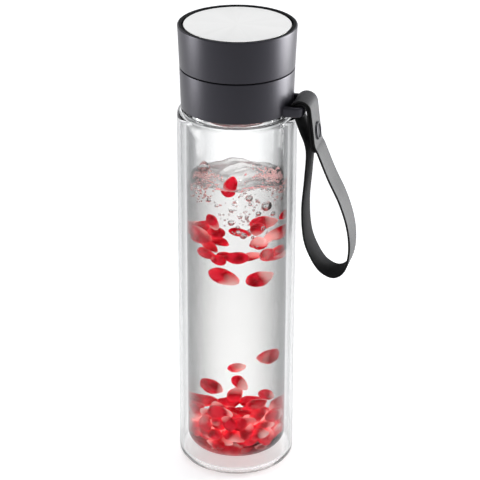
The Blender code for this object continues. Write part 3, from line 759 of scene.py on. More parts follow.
def aril_tree():
    """Pomegranate arils on points: a ball drawn out to a blunt tip, dented where arils pressed on it."""
    measures = ("Width Share", "Flat Share", "Dent Depth", "Dent Scale")
    tree, given = new_tree("arils", measures, counts=("Segments", "Rings"))
    inputs = {"Radius": 0.5, "Segments": given["Segments"], "Rings": given["Rings"]}
    ball = node(tree, "GeometryNodeMeshUVSphere", "Mesh", inputs)
    place = node(tree, "GeometryNodeInputPosition", "Position")
    x, y, z = (part_of(tree, place, axis) for axis in "XYZ")
    tip = calculate(tree, "ADD", z, 0.5)
    narrowing = product(tree, calculate(tree, "POWER", tip, 2.0), -ARIL_NARROWING)
    width = product(tree, calculate(tree, "ADD", narrowing, 1.0), given["Width Share"])
    depth = product(tree, width, given["Flat Share"])
    inputs = {"X": product(tree, x, width), "Y": product(tree, y, depth), "Z": z}
    drawn = node(tree, "ShaderNodeCombineXYZ", "Vector", inputs)
    inputs = {"Geometry": ball, "Name": "tip", "Value": tip}
    settings = {"data_type": "FLOAT", "domain": "POINT"}
    kept = node(tree, "GeometryNodeStoreNamedAttribute", "Geometry", inputs, **settings)
    inputs = {"Geometry": kept, "Position": drawn}
    shape = node(tree, "GeometryNodeSetPosition", "Geometry", inputs)
    made = instances(tree, given["Geometry"], shape)
    noise = node(tree, "ShaderNodeTexNoise", "Fac", {"Detail": 1.0, "Scale": given["Dent Scale"]})
    normal = node(tree, "GeometryNodeInputNormal", "Normal")
    inputs = {"Vector": normal, "Scale": product(tree, noise, given["Dent Depth"], -1.0)}
    push = node(tree, "ShaderNodeVectorMath", "Vector", inputs, operation="SCALE")
    dented = node(tree, "GeometryNodeSetPosition", "Geometry", {"Geometry": made, "Offset": push})
    return ended(tree, dented, given)


def aril_axis(tilt, lean):
    """The long axis of an aril that is tilted in the view and leans a little towards the camera."""
    flat = from_view(math.cos(tilt), 0, math.sin(tilt))
    return (flat * math.cos(lean) + from_view(0, math.sin(lean), 0)).normalized()


def any_axis(rng):
    """The long axis of an aril or a scrap that lies anyhow."""
    return aril_axis(rng.uniform(0, math.tau), rng.uniform(-LOOSE_LEAN, LOOSE_LEAN))


def scattered(rng, across, towards, up, spread, rise):
    """A random place about the middle of a group."""
    return from_view(rng.gauss(across, spread / 2), rng.gauss(towards, spread / 2), rng.gauss(up, rise / 2))


def all_arils():
    """The place, long axis and length of every aril: the single ones, then the pile and the cloud."""
    rng = random.Random(ARIL_SEED)
    made = []
    for across, towards, up, tilt, length in ARILS:
        place = from_view(across / 1000, towards / 1000, up / 1000)
        axis = aril_axis(math.radians(tilt), rng.uniform(-SINGLE_LEAN, SINGLE_LEAN))
        made.append((place, axis, length / 1000 * ARIL_SWELL))
    for count, heights in ((PILE_COUNT, PILE_HEIGHTS), (CLOUD_COUNT, CLOUD_HEIGHTS)):
        left = count
        while left:
            angle = rng.uniform(0, math.tau)
            away = PILE_RADIUS * math.sqrt(rng.random())
            place = Vector((away * math.cos(angle), away * math.sin(angle), rng.uniform(*heights)))
            spacing = ARIL_SPACING * (1 if left > count / 2 else ARIL_CROWDING)
            in_gap = heights == CLOUD_HEIGHTS and abs(place.dot(from_view(1, 0, 0))) < CLOUD_GAP
            if in_gap or any((place - other).length < spacing for other, _, _ in made):
                left -= 0 if rng.random() < ARIL_PATIENCE else 1
                continue
            made.append((place, any_axis(rng), ARIL_LENGTH * rng.uniform(*ARIL_LENGTH_SHARES)))
            left -= 1
    return made


def all_pulp():
    """The place, long axis and length of the torn scraps of pulp that gather at the surface."""
    rng = random.Random(ARIL_SEED)
    made = []
    for *group, count in PULP_GROUPS:
        for number in range(count):
            place = scattered(rng, *group)
            length = rng.uniform(*PULP_LENGTHS)
            roof = water_height(place.x, place.y) - length / 2
            if math.hypot(place.x, place.y) + length / 2 < TUBE_BORE:
                place.z = min(place.z, roof)
                made.append((place, any_axis(rng), length))
    return made


def kept_inside(mesh, count=0):
    """The mesh pressed clear of the glass and the surface; of count arils, the floating one stays high."""
    widest = TUBE_BORE - CONTENTS_CLEARANCE
    corner = TUBE_BORE_CORNER
    floating = range(0)
    if count:
        each = len(mesh.vertices) // count
        floating = range(FLOATING_ARIL * each, (FLOATING_ARIL + 1) * each)
    for vertex in mesh.vertices:
        place = vertex.co
        away = math.hypot(place.x, place.y)
        low = TUBE_FLOOR + CONTENTS_CLEARANCE
        if away > widest:
            place.x, place.y = place.x * widest / away, place.y * widest / away
            away = widest
        inset = away - (TUBE_BORE - corner)
        if inset > 0:
            low += corner - math.sqrt(max(corner**2 - inset**2, 0.0))
        if vertex.index not in floating:
            place.z = max(low, min(place.z, water_height(place.x, place.y) - CONTENTS_CLEARANCE))
    return mesh


def all_bubbles(seeds):
    """The place and radius of every bubble, clear of the arils, the wall and one another."""
    rng = random.Random(BUBBLE_SEED)
    made = []
    tries = [(from_view(*row[:3]), row[3]) for row in LARGE_BUBBLES]
    smallest, largest = BUBBLE_RADII
    for *group, count in BUBBLE_GROUPS:
        for number in range(count):
            place = scattered(rng, *group)
            tries.append((place, smallest + (largest - smallest) * rng.random() ** BUBBLE_SMALLNESS))
    for place, size in tries:
        clear = math.hypot(place.x, place.y) + size < TUBE_BORE - BUBBLE_SPACE
        clear = clear and place.z + size < water_height(place.x, place.y) - BUBBLE_SPACE
        for other, other_size in made:
            clear = clear and (place - other).length > size + other_size + BUBBLE_SPACE
        for seed, axis, length in seeds:
            beside = place - seed
            along = max(-length / 2, min(length / 2, beside.dot(axis)))
            clear = clear and (beside - axis * along).length > size + length * ARIL_WIDTH_SHARE / 2
        if clear:
            made.append((place, size))
    return made


water_look = (WATER_IOR, WATER_COLOUR, WATER_DRIFT, WATER_DRIFT_SCALE, WATER_PAINTED_SHADE, WATER_PAINTED_SHADE_RANGE)
water_finish, water_tree, water_shader = clear_finish("water", *water_look, leaving_only=True)
# Painted light: a faint white glow on the level faces of the water above this height
water_place = node(water_tree, "ShaderNodeTexCoord", "Object")
water_upper = calculate(water_tree, "GREATER_THAN", part_of(water_tree, water_place, "Z"), GLOW_ABOVE)
water_level = stretched(water_tree, slope_of(water_tree), *GLOW_SLOPES)
water_glow = product(water_tree, water_level, water_upper, GLOW_STRENGTH)
water_values = {"Emission Strength": water_glow, "Emission Color": (*SURFACE_GLOW_COLOUR, 1.0)}
set_inputs(water_tree, water_shader, water_values)

aril_finish, aril_nodes, aril_shader = new_material("aril_flesh")
aril_body = tinted_noise(aril_nodes, ARIL_DEEP, ARIL_RED, *ARIL_MOTTLE)
aril_tip = node(aril_nodes, "ShaderNodeAttribute", "Fac", attribute_name="tip")
aril_ripeness = calculate(aril_nodes, "SUBTRACT", noise_over(aril_nodes, ARIL_RIPENESS_SCALE, 0.0), 0.5)
aril_paleness = calculate(aril_nodes, "ADD", aril_tip, product(aril_nodes, aril_ripeness, ARIL_RIPENESS))
aril_rise = stretched(aril_nodes, aril_paleness, *ARIL_TIP_RANGE)
aril_colour = mixed(aril_nodes, aril_rise, aril_body, ARIL_TIP)
# The arils' colour also drives their glow, which is painted light
aril_colour_and_glow = {"Base Color": aril_colour, "Emission Color": aril_colour}
set_inputs(aril_nodes, aril_shader, ARIL_VALUES | aril_colour_and_glow)
aril_list = all_arils()
aril_mesh = grown("arils", point_mesh(aril_list), aril_tree(), ARIL_SHAPE | {"Material": aril_finish})
placed("pomegranate_arils", kept_inside(aril_mesh, len(aril_list)), [], "bottle", None, sharp=math.pi)

pulp_finish = mottled("aril_pulp", PULP_PALE, PULP_PINK, PULP_MOTTLE_SCALE, PULP_VALUES_WITH_GLOW, PULP_CONTRAST)
pulp_mesh = grown("pulp", point_mesh(all_pulp()), aril_tree(), PULP_SHAPE | {"Material": pulp_finish})
placed("pulp_scraps", kept_inside(pulp_mesh), [], "bottle", None, sharp=math.pi)

bubble_list = all_bubbles(aril_list)
water_bm = water_body()
for roundness, large in ((LARGE_ROUNDNESS, True), (SMALL_ROUNDNESS, False)):
    bubble_rows = [(place, None, size) for place, size in bubble_list if (size >= BUBBLE_RADII[1]) is large]
    bubble_values = {"Bubble Roundness": roundness, "Material": water_finish}
    water_bm.from_mesh(grown("bubbles", point_mesh(bubble_rows), bubble_tree(), bubble_values))
finished("water_and_bubbles", water_bm, [water_finish], "bottle", "clear_glass")


# The collar's silicone seal and its threaded black core, moulded in one with the drinking spout.
# Inside its skirt and outside its spout run the threads for the glass and for the cap.
SEAT_GAP = 0.0003
SKIRT_RADIUS = 0.02874
SKIRT_BORE = 0.0272
SKIRT_BOTTOM = 0.2168
FLANGE_Z = 0.2341
FLANGE_TOP = 0.2363
SPOUT_RADIUS = 0.0264
SPOUT_LIP = 0.2520
SPOUT_LIP_FILLET = 0.00065
SPOUT_LOWER_BORE = 0.0243
SPOUT_UPPER_BORE = 0.0250
LEDGE_Z = 0.2460
INSERT_FILLET = 0.0004
SKIRT_THREAD = (0.2185, 0.2325, -0.00045, 0.003)
SPOUT_THREAD = (0.2400, 0.2495, 0.00045, 0.001)
SEAL_FILLET = 0.0004
COLLAR_SEAL = (0.0269, 0.0247, 0.2323, 0.2338)
CAP_SEAL = (0.0267, 0.0239, 0.2523, 0.2541)
SEAL_COLOUR = (0.72, 0.73, 0.72)
SEAL_TONE = 0.93
SEAL_MOTTLE_SCALE = 220.0
SEAL_VALUES = {"Roughness": 0.42, "Subsurface Weight": 0.3, "Subsurface Scale": 0.002}
BLACK_COLOUR = (0.018, 0.018, 0.019)
BLACK_TONE = 1.6
BLACK_MOTTLE_SCALE = 900.0
BLACK_VALUES = {"Roughness": 0.38}


def scaled(colour, share):
    """The colour made lighter or darker by a share."""
    return [part * share for part in colour]


def two_toned(name, colour, tone, scale, values):
    """A mottled material whose second colour is a tone of its first."""
    return mottled(name, colour, scaled(colour, tone), scale, values)


def seal(name, sizes, body, cad_node):
    """A flat silicone washer with rounded edges."""
    outer, inner, low, high = sizes
    corners = [(inner, high), (outer, high), (outer, low), (inner, low)]
    path = rounded([(radius, height, SEAL_FILLET) for radius, height in corners], closed=True)
    finished(name, lathe(path, closed=True), [seal_finish], body, "silicone", cad_node)


seal_finish = two_toned("silicone", SEAL_COLOUR, SEAL_TONE, SEAL_MOTTLE_SCALE, SEAL_VALUES)
seal("neck_seal_ring", COLLAR_SEAL, "collar_ring", "collar_seal")

black_finish = two_toned("black_plastic", BLACK_COLOUR, BLACK_TONE, BLACK_MOTTLE_SCALE, BLACK_VALUES)

insert_path = rounded(
    [
        (SPOUT_UPPER_BORE, SPOUT_LIP, SPOUT_LIP_FILLET),
        (SPOUT_RADIUS, SPOUT_LIP, SPOUT_LIP_FILLET),
        (SPOUT_RADIUS, FLANGE_TOP, 0),
        (SKIRT_RADIUS, FLANGE_TOP, INSERT_FILLET),
        (SKIRT_RADIUS, SKIRT_BOTTOM, INSERT_FILLET),
        (SKIRT_BORE, SKIRT_BOTTOM, INSERT_FILLET),
        (SKIRT_BORE, FLANGE_Z, 0),
        (SPOUT_LOWER_BORE, FLANGE_Z, 0),
        (SPOUT_LOWER_BORE, LEDGE_Z, 0),
        (SPOUT_UPPER_BORE, LEDGE_Z, 0),
    ],
    closed=True,
)
insert_threads = ((SPOUT_RADIUS, SPOUT_THREAD), (SKIRT_BORE, SKIRT_THREAD))
insert_bm = lathe(insert_path, closed=True, threads=insert_threads)
finished("spout_and_skirt", insert_bm, [black_finish], "collar", "black_plastic", "collar_insert")


# The collar's outer sleeve: satin anthracite plastic, a little wider at the top, moulded with its lug.
# The lug is a flat loop with two arms and a bar; its edges are rounded so that they don't cut the strap.
COLLAR_BOTTOM_RADIUS = 0.03084
SEAM_RADIUS = 0.03148
COLLAR_TOP = 0.2388
COLLAR_BORE = 0.02904
COLLAR_TOP_THICKNESS = 0.0022
SLEEVE_MOUTH = 0.02715
SHELL_FILLET = 0.0004
LUG_REACH = 0.03923
LUG_HALF_WIDTH = 0.0123
LUG_SLOT_HALF_WIDTH = 0.0095
LUG_BAR_WIDTH = 0.0038
LUG_HEIGHT = 0.0057
LUG_CORNER = 0.0050
LUG_SLOT_CORNER = 0.0015
LUG_ROOT = 0.0275
LUG_EDGE = 0.0012
LUG_EDGE_STEPS = 5
ANTHRACITE = (0.0095, 0.0090, 0.0120)
ANTHRACITE_TONE = 1.15
ANTHRACITE_MOTTLE_SCALE = 260.0
ANTHRACITE_ROUGHNESS = 0.36
ANTHRACITE_GLOSS = (0.90, 0.88, 1.0)
GRAIN_SCALE = 5200.0
GRAIN_DETAIL = 2.0
GRAIN_RELIEF = 0.12
GRAIN_DEPTH = 0.00005


def raised(tree, height, strength, distance):
    """A fine relief on the surface, ready for the shader's normal."""
    inputs = {"Height": height, "Strength": strength, "Distance": distance}
    return node(tree, "ShaderNodeBump", "Normal", inputs)


def combined(operation, base, other):
    """The plain mesh that a Boolean makes of two meshes."""
    holder = in_scene("base", base)
    helper = in_scene("other", other)
    step = holder.modifiers.new("combine", "BOOLEAN")
    step.operation = operation
    step.solver = "EXACT"
    step.object = helper
    made = holder.evaluated_get(bpy.context.evaluated_depsgraph_get())
    mesh = bpy.data.meshes.new_from_object(made)
    mesh.materials.clear()
    mesh.polygons.foreach_set("material_index", [0] * len(mesh.polygons))
    bpy.data.objects.remove(holder)
    bpy.data.objects.remove(helper)
    return mesh


def lug_block():
    """The lug alone, as a closed block whose root lies inside the sleeve's wall."""
    slot_x = LUG_REACH - LUG_BAR_WIDTH
    inner, outer = LUG_SLOT_HALF_WIDTH, LUG_HALF_WIDTH
    outline = rounded(
        [
            (LUG_ROOT, -outer, 0),
            (LUG_REACH, -outer, LUG_CORNER),
            (LUG_REACH, outer, LUG_CORNER),
            (LUG_ROOT, outer, 0),
            (LUG_ROOT, inner, 0),
            (slot_x, inner, LUG_SLOT_CORNER),
            (slot_x, -inner, LUG_SLOT_CORNER),
            (LUG_ROOT, -inner, 0),
        ],
        closed=True,
    )
    bm = bmesh.new()
    face = bm.faces.new([bm.verts.new((point.x, point.y, BODY_HEIGHT)) for point in outline])
    pulled = bmesh.ops.extrude_face_region(bm, geom=[face])["geom"]
    upper = [item for item in pulled if isinstance(item, bmesh.types.BMVert)]
    bmesh.ops.translate(bm, verts=upper, vec=(0, 0, LUG_HEIGHT))
    bmesh.ops.recalc_face_normals(bm, faces=bm.faces)
    level = [edge for edge in bm.edges if abs(edge.verts[0].co.z - edge.verts[1].co.z) < SEAT_GAP]
    bmesh.ops.bevel(bm, geom=level, offset=LUG_EDGE, segments=LUG_EDGE_STEPS, profile=0.5, affect="EDGES")
    return mesh_of("lug_block", bm)


anthracite_finish, plastic_tree, plastic_shader = new_material("anthracite_plastic")
plastic_tones = (ANTHRACITE, scaled(ANTHRACITE, ANTHRACITE_TONE))
plastic_grain = noise_over(plastic_tree, GRAIN_SCALE, GRAIN_DETAIL)
plastic_values = {"Roughness": ANTHRACITE_ROUGHNESS, "Specular Tint": (*ANTHRACITE_GLOSS, 1.0)}
plastic_values["Base Color"] = tinted_noise(plastic_tree, *plastic_tones, ANTHRACITE_MOTTLE_SCALE)
plastic_values["Normal"] = raised(plastic_tree, plastic_grain, GRAIN_RELIEF, GRAIN_DEPTH)
set_inputs(plastic_tree, plastic_shader, plastic_values)
sleeve_path = rounded(
    [
        (SLEEVE_MOUTH, COLLAR_TOP, SHELL_FILLET),
        (SEAM_RADIUS, COLLAR_TOP, SHELL_FILLET),
        (COLLAR_BOTTOM_RADIUS, BODY_HEIGHT + SEAT_GAP, SHELL_FILLET),
        (COLLAR_BORE, BODY_HEIGHT + SEAT_GAP, 0),
        (COLLAR_BORE, COLLAR_TOP - COLLAR_TOP_THICKNESS, 0),
        (SLEEVE_MOUTH, COLLAR_TOP - COLLAR_TOP_THICKNESS, 0),
    ],
    closed=True,
)
collar_mesh = combined("UNION", mesh_of("sleeve_ring", lathe(sleeve_path, closed=True)), lug_block())
placed("collar_sleeve", collar_mesh, [anthracite_finish], "collar", "anthracite_plastic", "collar_shell")


# The strainer: a cup pressed from thin stainless sheet, punched with a field of holes in its floor.
# Two staggered rows of holes run round its wall, and it hangs by its flange on the ledge in the spout.
STRAINER_RADIUS = 0.0239
STRAINER_WALL = 0.0006
STRAINER_FLOOR = 0.2240
STRAINER_CORNER = 0.0030
FLANGE_RADIUS = 0.0247
FLANGE_THICKNESS = 0.0008
FLANGE_BEND = 0.0004
HOLE_RADIUS = 0.0010
HOLE_SIDES = 14
HOLE_PITCH = 0.0048
HOLE_LENGTH = 0.0016
HOLE_BURR = 0.000002
WALL_HOLES = 18
WALL_ROWS = 2
WALL_ROW_PITCH = 0.0042
STEEL = (0.56, 0.56, 0.57)
STEEL_TONE = 1.2
STEEL_MOTTLE_SCALE = 500.0
STEEL_VALUES = {"Roughness": 0.26, "Metallic": 1.0}


def pins(name, rows, radius, length, sides, finish):
    """A round pin on each row's place, along its axis, grown by a tree of its own."""
    tree, given = new_tree(name, ("Pin Radius", "Pin Length"), ("Pin Sides",))
    inputs = {"Vertices": given["Pin Sides"], "Radius": given["Pin Radius"], "Depth": given["Pin Length"]}
    pin = node(tree, "GeometryNodeMeshCylinder", "Mesh", inputs)
    ended(tree, instances(tree, given["Geometry"], pin), given)
    values = {"Pin Radius": radius, "Pin Length": length, "Pin Sides": sides, "Material": finish}
    return grown(name, point_mesh(rows), tree, values)


def strainer_holes():
    """The middle, direction and size of every hole: a hexagonal field in the floor, then the wall's rows."""
    made = []
    field = STRAINER_RADIUS - STRAINER_CORNER - HOLE_RADIUS
    row_step = HOLE_PITCH * math.sqrt(3) / 2
    rows = int(field / row_step)
    columns = int(field / HOLE_PITCH) + 1
    for row in range(-rows, rows + 1):
        for column in range(-columns, columns + 1):
            x = column * HOLE_PITCH + (HOLE_PITCH / 2 if row % 2 else 0)
            y = row * row_step
            if math.hypot(x, y) <= field:
                made.append((Vector((x, y, STRAINER_FLOOR + STRAINER_WALL / 2)), Vector((0, 0, 1)), 1.0))
    first = STRAINER_FLOOR + STRAINER_CORNER + 2 * HOLE_RADIUS
    for row in range(WALL_ROWS):
        for number in range(WALL_HOLES):
            angle = math.tau * (number + 0.5 + row / 2) / WALL_HOLES
            outward = Vector((math.cos(angle), math.sin(angle), 0))
            middle = outward * (STRAINER_RADIUS - STRAINER_WALL / 2)
            made.append((middle + Vector((0, 0, first + row * WALL_ROW_PITCH)), outward, 1.0))
    return made


strainer_finish = two_toned("sheet_steel", STEEL, STEEL_TONE, STEEL_MOTTLE_SCALE, STEEL_VALUES)
flange_z = LEDGE_Z + SEAT_GAP
inner_radius = STRAINER_RADIUS - STRAINER_WALL
strainer_path = rounded(
    [
        (0, STRAINER_FLOOR, 0),
        (STRAINER_RADIUS, STRAINER_FLOOR, STRAINER_CORNER),
        (STRAINER_RADIUS, flange_z, FLANGE_BEND / 2),
        (FLANGE_RADIUS, flange_z, FLANGE_BEND / 2),
        (FLANGE_RADIUS, flange_z + FLANGE_THICKNESS, FLANGE_BEND / 2),
        (inner_radius, flange_z + FLANGE_THICKNESS, FLANGE_BEND * 1.5),
        (inner_radius, STRAINER_FLOOR + STRAINER_WALL, STRAINER_CORNER - STRAINER_WALL),
        (0, STRAINER_FLOOR + STRAINER_WALL, 0),
    ]
)
punches = pins("punches", strainer_holes(), HOLE_RADIUS, HOLE_LENGTH, HOLE_SIDES, strainer_finish)
cup_mesh = combined("DIFFERENCE", mesh_of("pressed_cup", lathe(strainer_path)), punches)
cup_bm = bmesh.new()
cup_bm.from_mesh(cup_mesh)
bmesh.ops.remove_doubles(cup_bm, verts=cup_bm.verts, dist=HOLE_BURR)
bmesh.ops.dissolve_degenerate(cup_bm, dist=HOLE_BURR, edges=cup_bm.edges)
finished("perforated_cup", cup_bm, [strainer_finish], "strainer", "sheet_steel", "strainer_basket")


# The cap: a seal, a threaded black liner and a satin anthracite cover with a spun steel disc in its top.
# The liner is snapped up into the cover, and a groove runs round the disc; the groove and the rim's flat top
# are coloured near black as painted shade.
CAP_BOTTOM = 0.2394
CAP_TOP = 0.2629
CAP_TOP_RADIUS = 0.03252
CAP_BORE = 0.02968
CAP_ROOF = 0.2592
DISC_RADIUS = 0.0293
DISC_GROOVE = 0.0010
DISC_FLOOR = 0.2612
DISC_TOP = 0.26255
DISC_BASE = 0.2615
DISC_FILLET = 0.0003
RIM_FILLET = 0.0007
RIM_INNER_FILLET = 0.0004
LINER_RADIUS = 0.0286
LINER_BORE = 0.0270
LINER_ROOF = 0.2544
LINER_ROOF_TOP = 0.2560
LINER_BOTTOM = 0.2404
LINER_TOP = 0.2589
LINER_RIBS = 12
RIB_RADIUS = 0.0006
RIB_SIDES = 12
RIB_INSET = 0.0010
LINER_THREAD = (0.2415, 0.2500, -0.00045, 0.004)
# Painted shade: the near-black, nearly glossless colour of the groove and the rim's flat top round the disc
RIM_PAINTED_SHADE = (0.004, 0.004, 0.0045)
RIM_SHADE_TONE = 1.8
RIM_SHADE_VALUES = {"Roughness": 0.6, "Specular IOR Level": 0.08}
DISC_COLOUR = (0.925, 0.92, 0.90)
# Painted reflection: the disc's colour turns lighter and darker in broad wedges round its middle, standing
# in for the sunburst that spun steel reflects
DISC_REFLECTION_TONE = (0.89, 0.885, 0.865)
DISC_REFLECTION_NOISE = {"Scale": 2.2, "Detail": 6.0}
DISC_REFLECTION_RANGE = (0.42, 0.72)
DISC_RINGS = {"Scale": 1100.0, "Distortion": 1.5}
DISC_RELIEF = 0.15
DISC_RING_DEPTH = 0.00002
DISC_ROUGHNESS = 0.34

seal("cap_seal_ring", CAP_SEAL, "cap_ring", "cap_seal")

liner_path = rounded(
    [
        (0, LINER_ROOF_TOP, 0),
        (LINER_BORE, LINER_ROOF_TOP, 0),
        (LINER_BORE, LINER_TOP, 0),
        (LINER_RADIUS, LINER_TOP, INSERT_FILLET),
        (LINER_RADIUS, LINER_BOTTOM, INSERT_FILLET),
        (LINER_BORE, LINER_BOTTOM, INSERT_FILLET),
        (LINER_BORE, LINER_ROOF, 0),
        (0, LINER_ROOF, 0),
    ]
)
liner_bm = lathe(liner_path, threads=((LINER_BORE, LINER_THREAD),))
rib_ring = CAP_BORE - SEAT_GAP - RIB_RADIUS
rib_height = (LINER_BOTTOM + LINER_TOP) / 2
rib_length = LINER_TOP - LINER_BOTTOM - 2 * RIB_INSET
rib_rows = []
for number in range(LINER_RIBS):
    angle = math.tau * number / LINER_RIBS
    rib_rows.append(((rib_ring * math.cos(angle), rib_ring * math.sin(angle), rib_height), None, 1.0))
liner_bm.from_mesh(pins("ribs", rib_rows, RIB_RADIUS, rib_length, RIB_SIDES, black_finish))
finished("threaded_liner", liner_bm, [black_finish], "cap", "black_plastic", "cap_liner")

rim_shade_finish = two_toned("painted_shade_rim", RIM_PAINTED_SHADE, RIM_SHADE_TONE, BLACK_MOTTLE_SCALE, RIM_SHADE_VALUES)
cover_path = rounded(
    [
        (0, DISC_FLOOR, 0),
        (DISC_RADIUS + DISC_GROOVE, DISC_FLOOR, 0),
        (DISC_RADIUS + DISC_GROOVE, CAP_TOP, RIM_INNER_FILLET),
        (CAP_TOP_RADIUS, CAP_TOP, RIM_FILLET),
        (SEAM_RADIUS, CAP_BOTTOM, SHELL_FILLET),
        (CAP_BORE, CAP_BOTTOM, 0),
        (CAP_BORE, CAP_ROOF, 0),
        (0, CAP_ROOF, 0),
    ]
)
cover_bm = lathe(cover_path)
# Faces of the groove and the rim's flat top take the painted shade
for face in cover_bm.faces:
    middle = face.calc_center_median()
    within_rim = middle.xy.length < CAP_TOP_RADIUS - RIM_FILLET
    face.material_index = 1 if middle.z > DISC_FLOOR - SEAT_GAP and within_rim else 0
cover_finishes = [anthracite_finish, rim_shade_finish]
finished("cap_cover", cover_bm, cover_finishes, "cap", "anthracite_plastic", "cap_shell")

disc_path = rounded(
    [
        (0, DISC_TOP, 0),
        (DISC_RADIUS, DISC_TOP, DISC_FILLET),
        (DISC_RADIUS, DISC_BASE, 0),
        (0, DISC_BASE, 0),
    ]
)
disc_finish, disc_tree, disc_shader = new_material("spun_steel")
disc_place = node(disc_tree, "ShaderNodeTexCoord", "Object")
disc_x, disc_y = (part_of(disc_tree, disc_place, axis) for axis in "XY")
# Painted reflection: wedges of lighter and darker steel by the angle round the middle
reflection_inputs = DISC_REFLECTION_NOISE | {"W": calculate(disc_tree, "ARCTAN2", disc_y, disc_x)}
disc_reflection = node(disc_tree, "ShaderNodeTexNoise", "Fac", reflection_inputs, noise_dimensions="1D")
reflection_share = stretched(disc_tree, disc_reflection, *DISC_REFLECTION_RANGE)
ring_inputs = DISC_RINGS | {"Vector": disc_place}
ring_settings = {"wave_type": "RINGS", "rings_direction": "Z"}
disc_rings = node(disc_tree, "ShaderNodeTexWave", "Fac", ring_inputs, **ring_settings)
disc_values = {"Roughness": DISC_ROUGHNESS, "Metallic": 1.0}
disc_values["Base Color"] = mixed(disc_tree, reflection_share, DISC_COLOUR, DISC_REFLECTION_TONE)
disc_values["Normal"] = raised(disc_tree, disc_rings, DISC_RELIEF, DISC_RING_DEPTH)
set_inputs(disc_tree, disc_shader, disc_values)
finished("spun_disc", lathe(disc_path), [disc_finish], "cap", "spun_steel", "steel_disc")


# The strap: one strip of black-edged faux leather, wound twice over the lug's bar.
# It starts as a flap in the slot, hangs as a loop, and its tail lies under the front run.
STRAP_WIDTH = 0.0180
STRAP_THICKNESS = 0.0012
STRAP_LAYER_GAP = 0.0003
STRAP_REACH = 0.0291
STRAP_DROP = 0.0969
STRAP_FRONT_LEAN = math.radians(7)
STRAP_BACK_LEAN = math.radians(20)
STRAP_FRONT_RUN = 0.0190
STRAP_BACK_RUN = 0.0045
STRAP_TAIL = 0.0245
STRAP_FLAP = 0.0030
STRAP_END_RADIUS = 0.0030
STRAP_EDGE_FILLET = 0.0003
INNER_WRAP_RADIUS = 0.003892
OUTER_WRAP_RADIUS = 0.005392
WRAP_STEPS = 36
LOOP_STEPS = 10
TAIL_STEPS = 22
END_STEPS = 10

# The hanging loop's middle line, as shares of its reach and of its drop
LOOP_SHARES = (
    (0.354, 0.249),
    (0.561, 0.395),
    (0.806, 0.547),
    (0.962, 0.698),
    (0.998, 0.842),
    (0.905, 0.954),
    (0.699, 0.999),
    (0.440, 0.968),
    (0.240, 0.882),
    (0.105, 0.768),
    (0.063, 0.596),
    (0.105, 0.421),
    (0.136, 0.264),
    (0.100, 0.190),
    (0.012, 0.125),
)

PEBBLE_SCALE = 2300.0
PEBBLE_DEPTH = 0.00012
LEATHER_MOTTLE_SCALE = 420.0
LEATHER_MOTTLE_DETAIL = 5.0
LEATHER_ROUGHNESS_DRIFT = (0.08, 0.12)
EDGE_PAINT = (0.003, 0.003, 0.003)
EDGE_TONE = 2
EDGE_MOTTLE_SCALE = 700.0
EDGE_VALUES = {"Roughness": 0.55, "Specular IOR Level": 0.15}

# The outer face and the lining: dark tone, light tone, roughness, gloss and relief
LEATHER_FACE = ((0.022, 0.022, 0.023), (0.040, 0.040, 0.042), 0.50, 0.28, 0.35)
# The lining is a rougher, duller face of the strip, and its darker tones are painted shade for the inside of
# the loop
SHADED_LINING_FACE = ((0.004, 0.004, 0.0042), (0.030, 0.030, 0.031), 0.80, 0.10, 0.60)

swing = next(joint for joint in frame["joints"] if joint["name"] == "strap_swing")
bar_centre = Vector(swing["pos_m"])


def smooth_curve(points, before, after, steps):
    """A Catmull-Rom curve through the points, whose ends leave along the two given neighbours."""
    chain = [before, *points, after]
    path = []
    for i in range(1, len(chain) - 2):
        a, b, c, d = chain[i - 1 : i + 3]
        for step in range(steps):
            t = step / steps
            bend = 2 * a - 5 * b + 4 * c - d
            twist = 3 * b - a - 3 * c + d
            path.append(b + ((c - a) * t + bend * t**2 + twist * t**3) / 2)
    path.append(points[-1])
    return path


def wrap(radius, start, end):
    """The strap's way over the bar, clockwise from one angle to the other."""
    path = []
    for step in range(WRAP_STEPS + 1):
        angle = start + (end - start) * step / WRAP_STEPS
        path.append(Vector((math.cos(angle), math.sin(angle))) * radius)
    return path


def inside(path, distance):
    """The place beside a path's inner side, a layer's step away, at a distance along it."""
    for before, after in zip(path, path[1:]):
        length = (after - before).length
        if distance <= length:
            break
        distance -= length
    along = (after - before) / length
    step = STRAP_THICKNESS + STRAP_LAYER_GAP
    return before + along * distance + Vector((along.y, -along.x)) * step


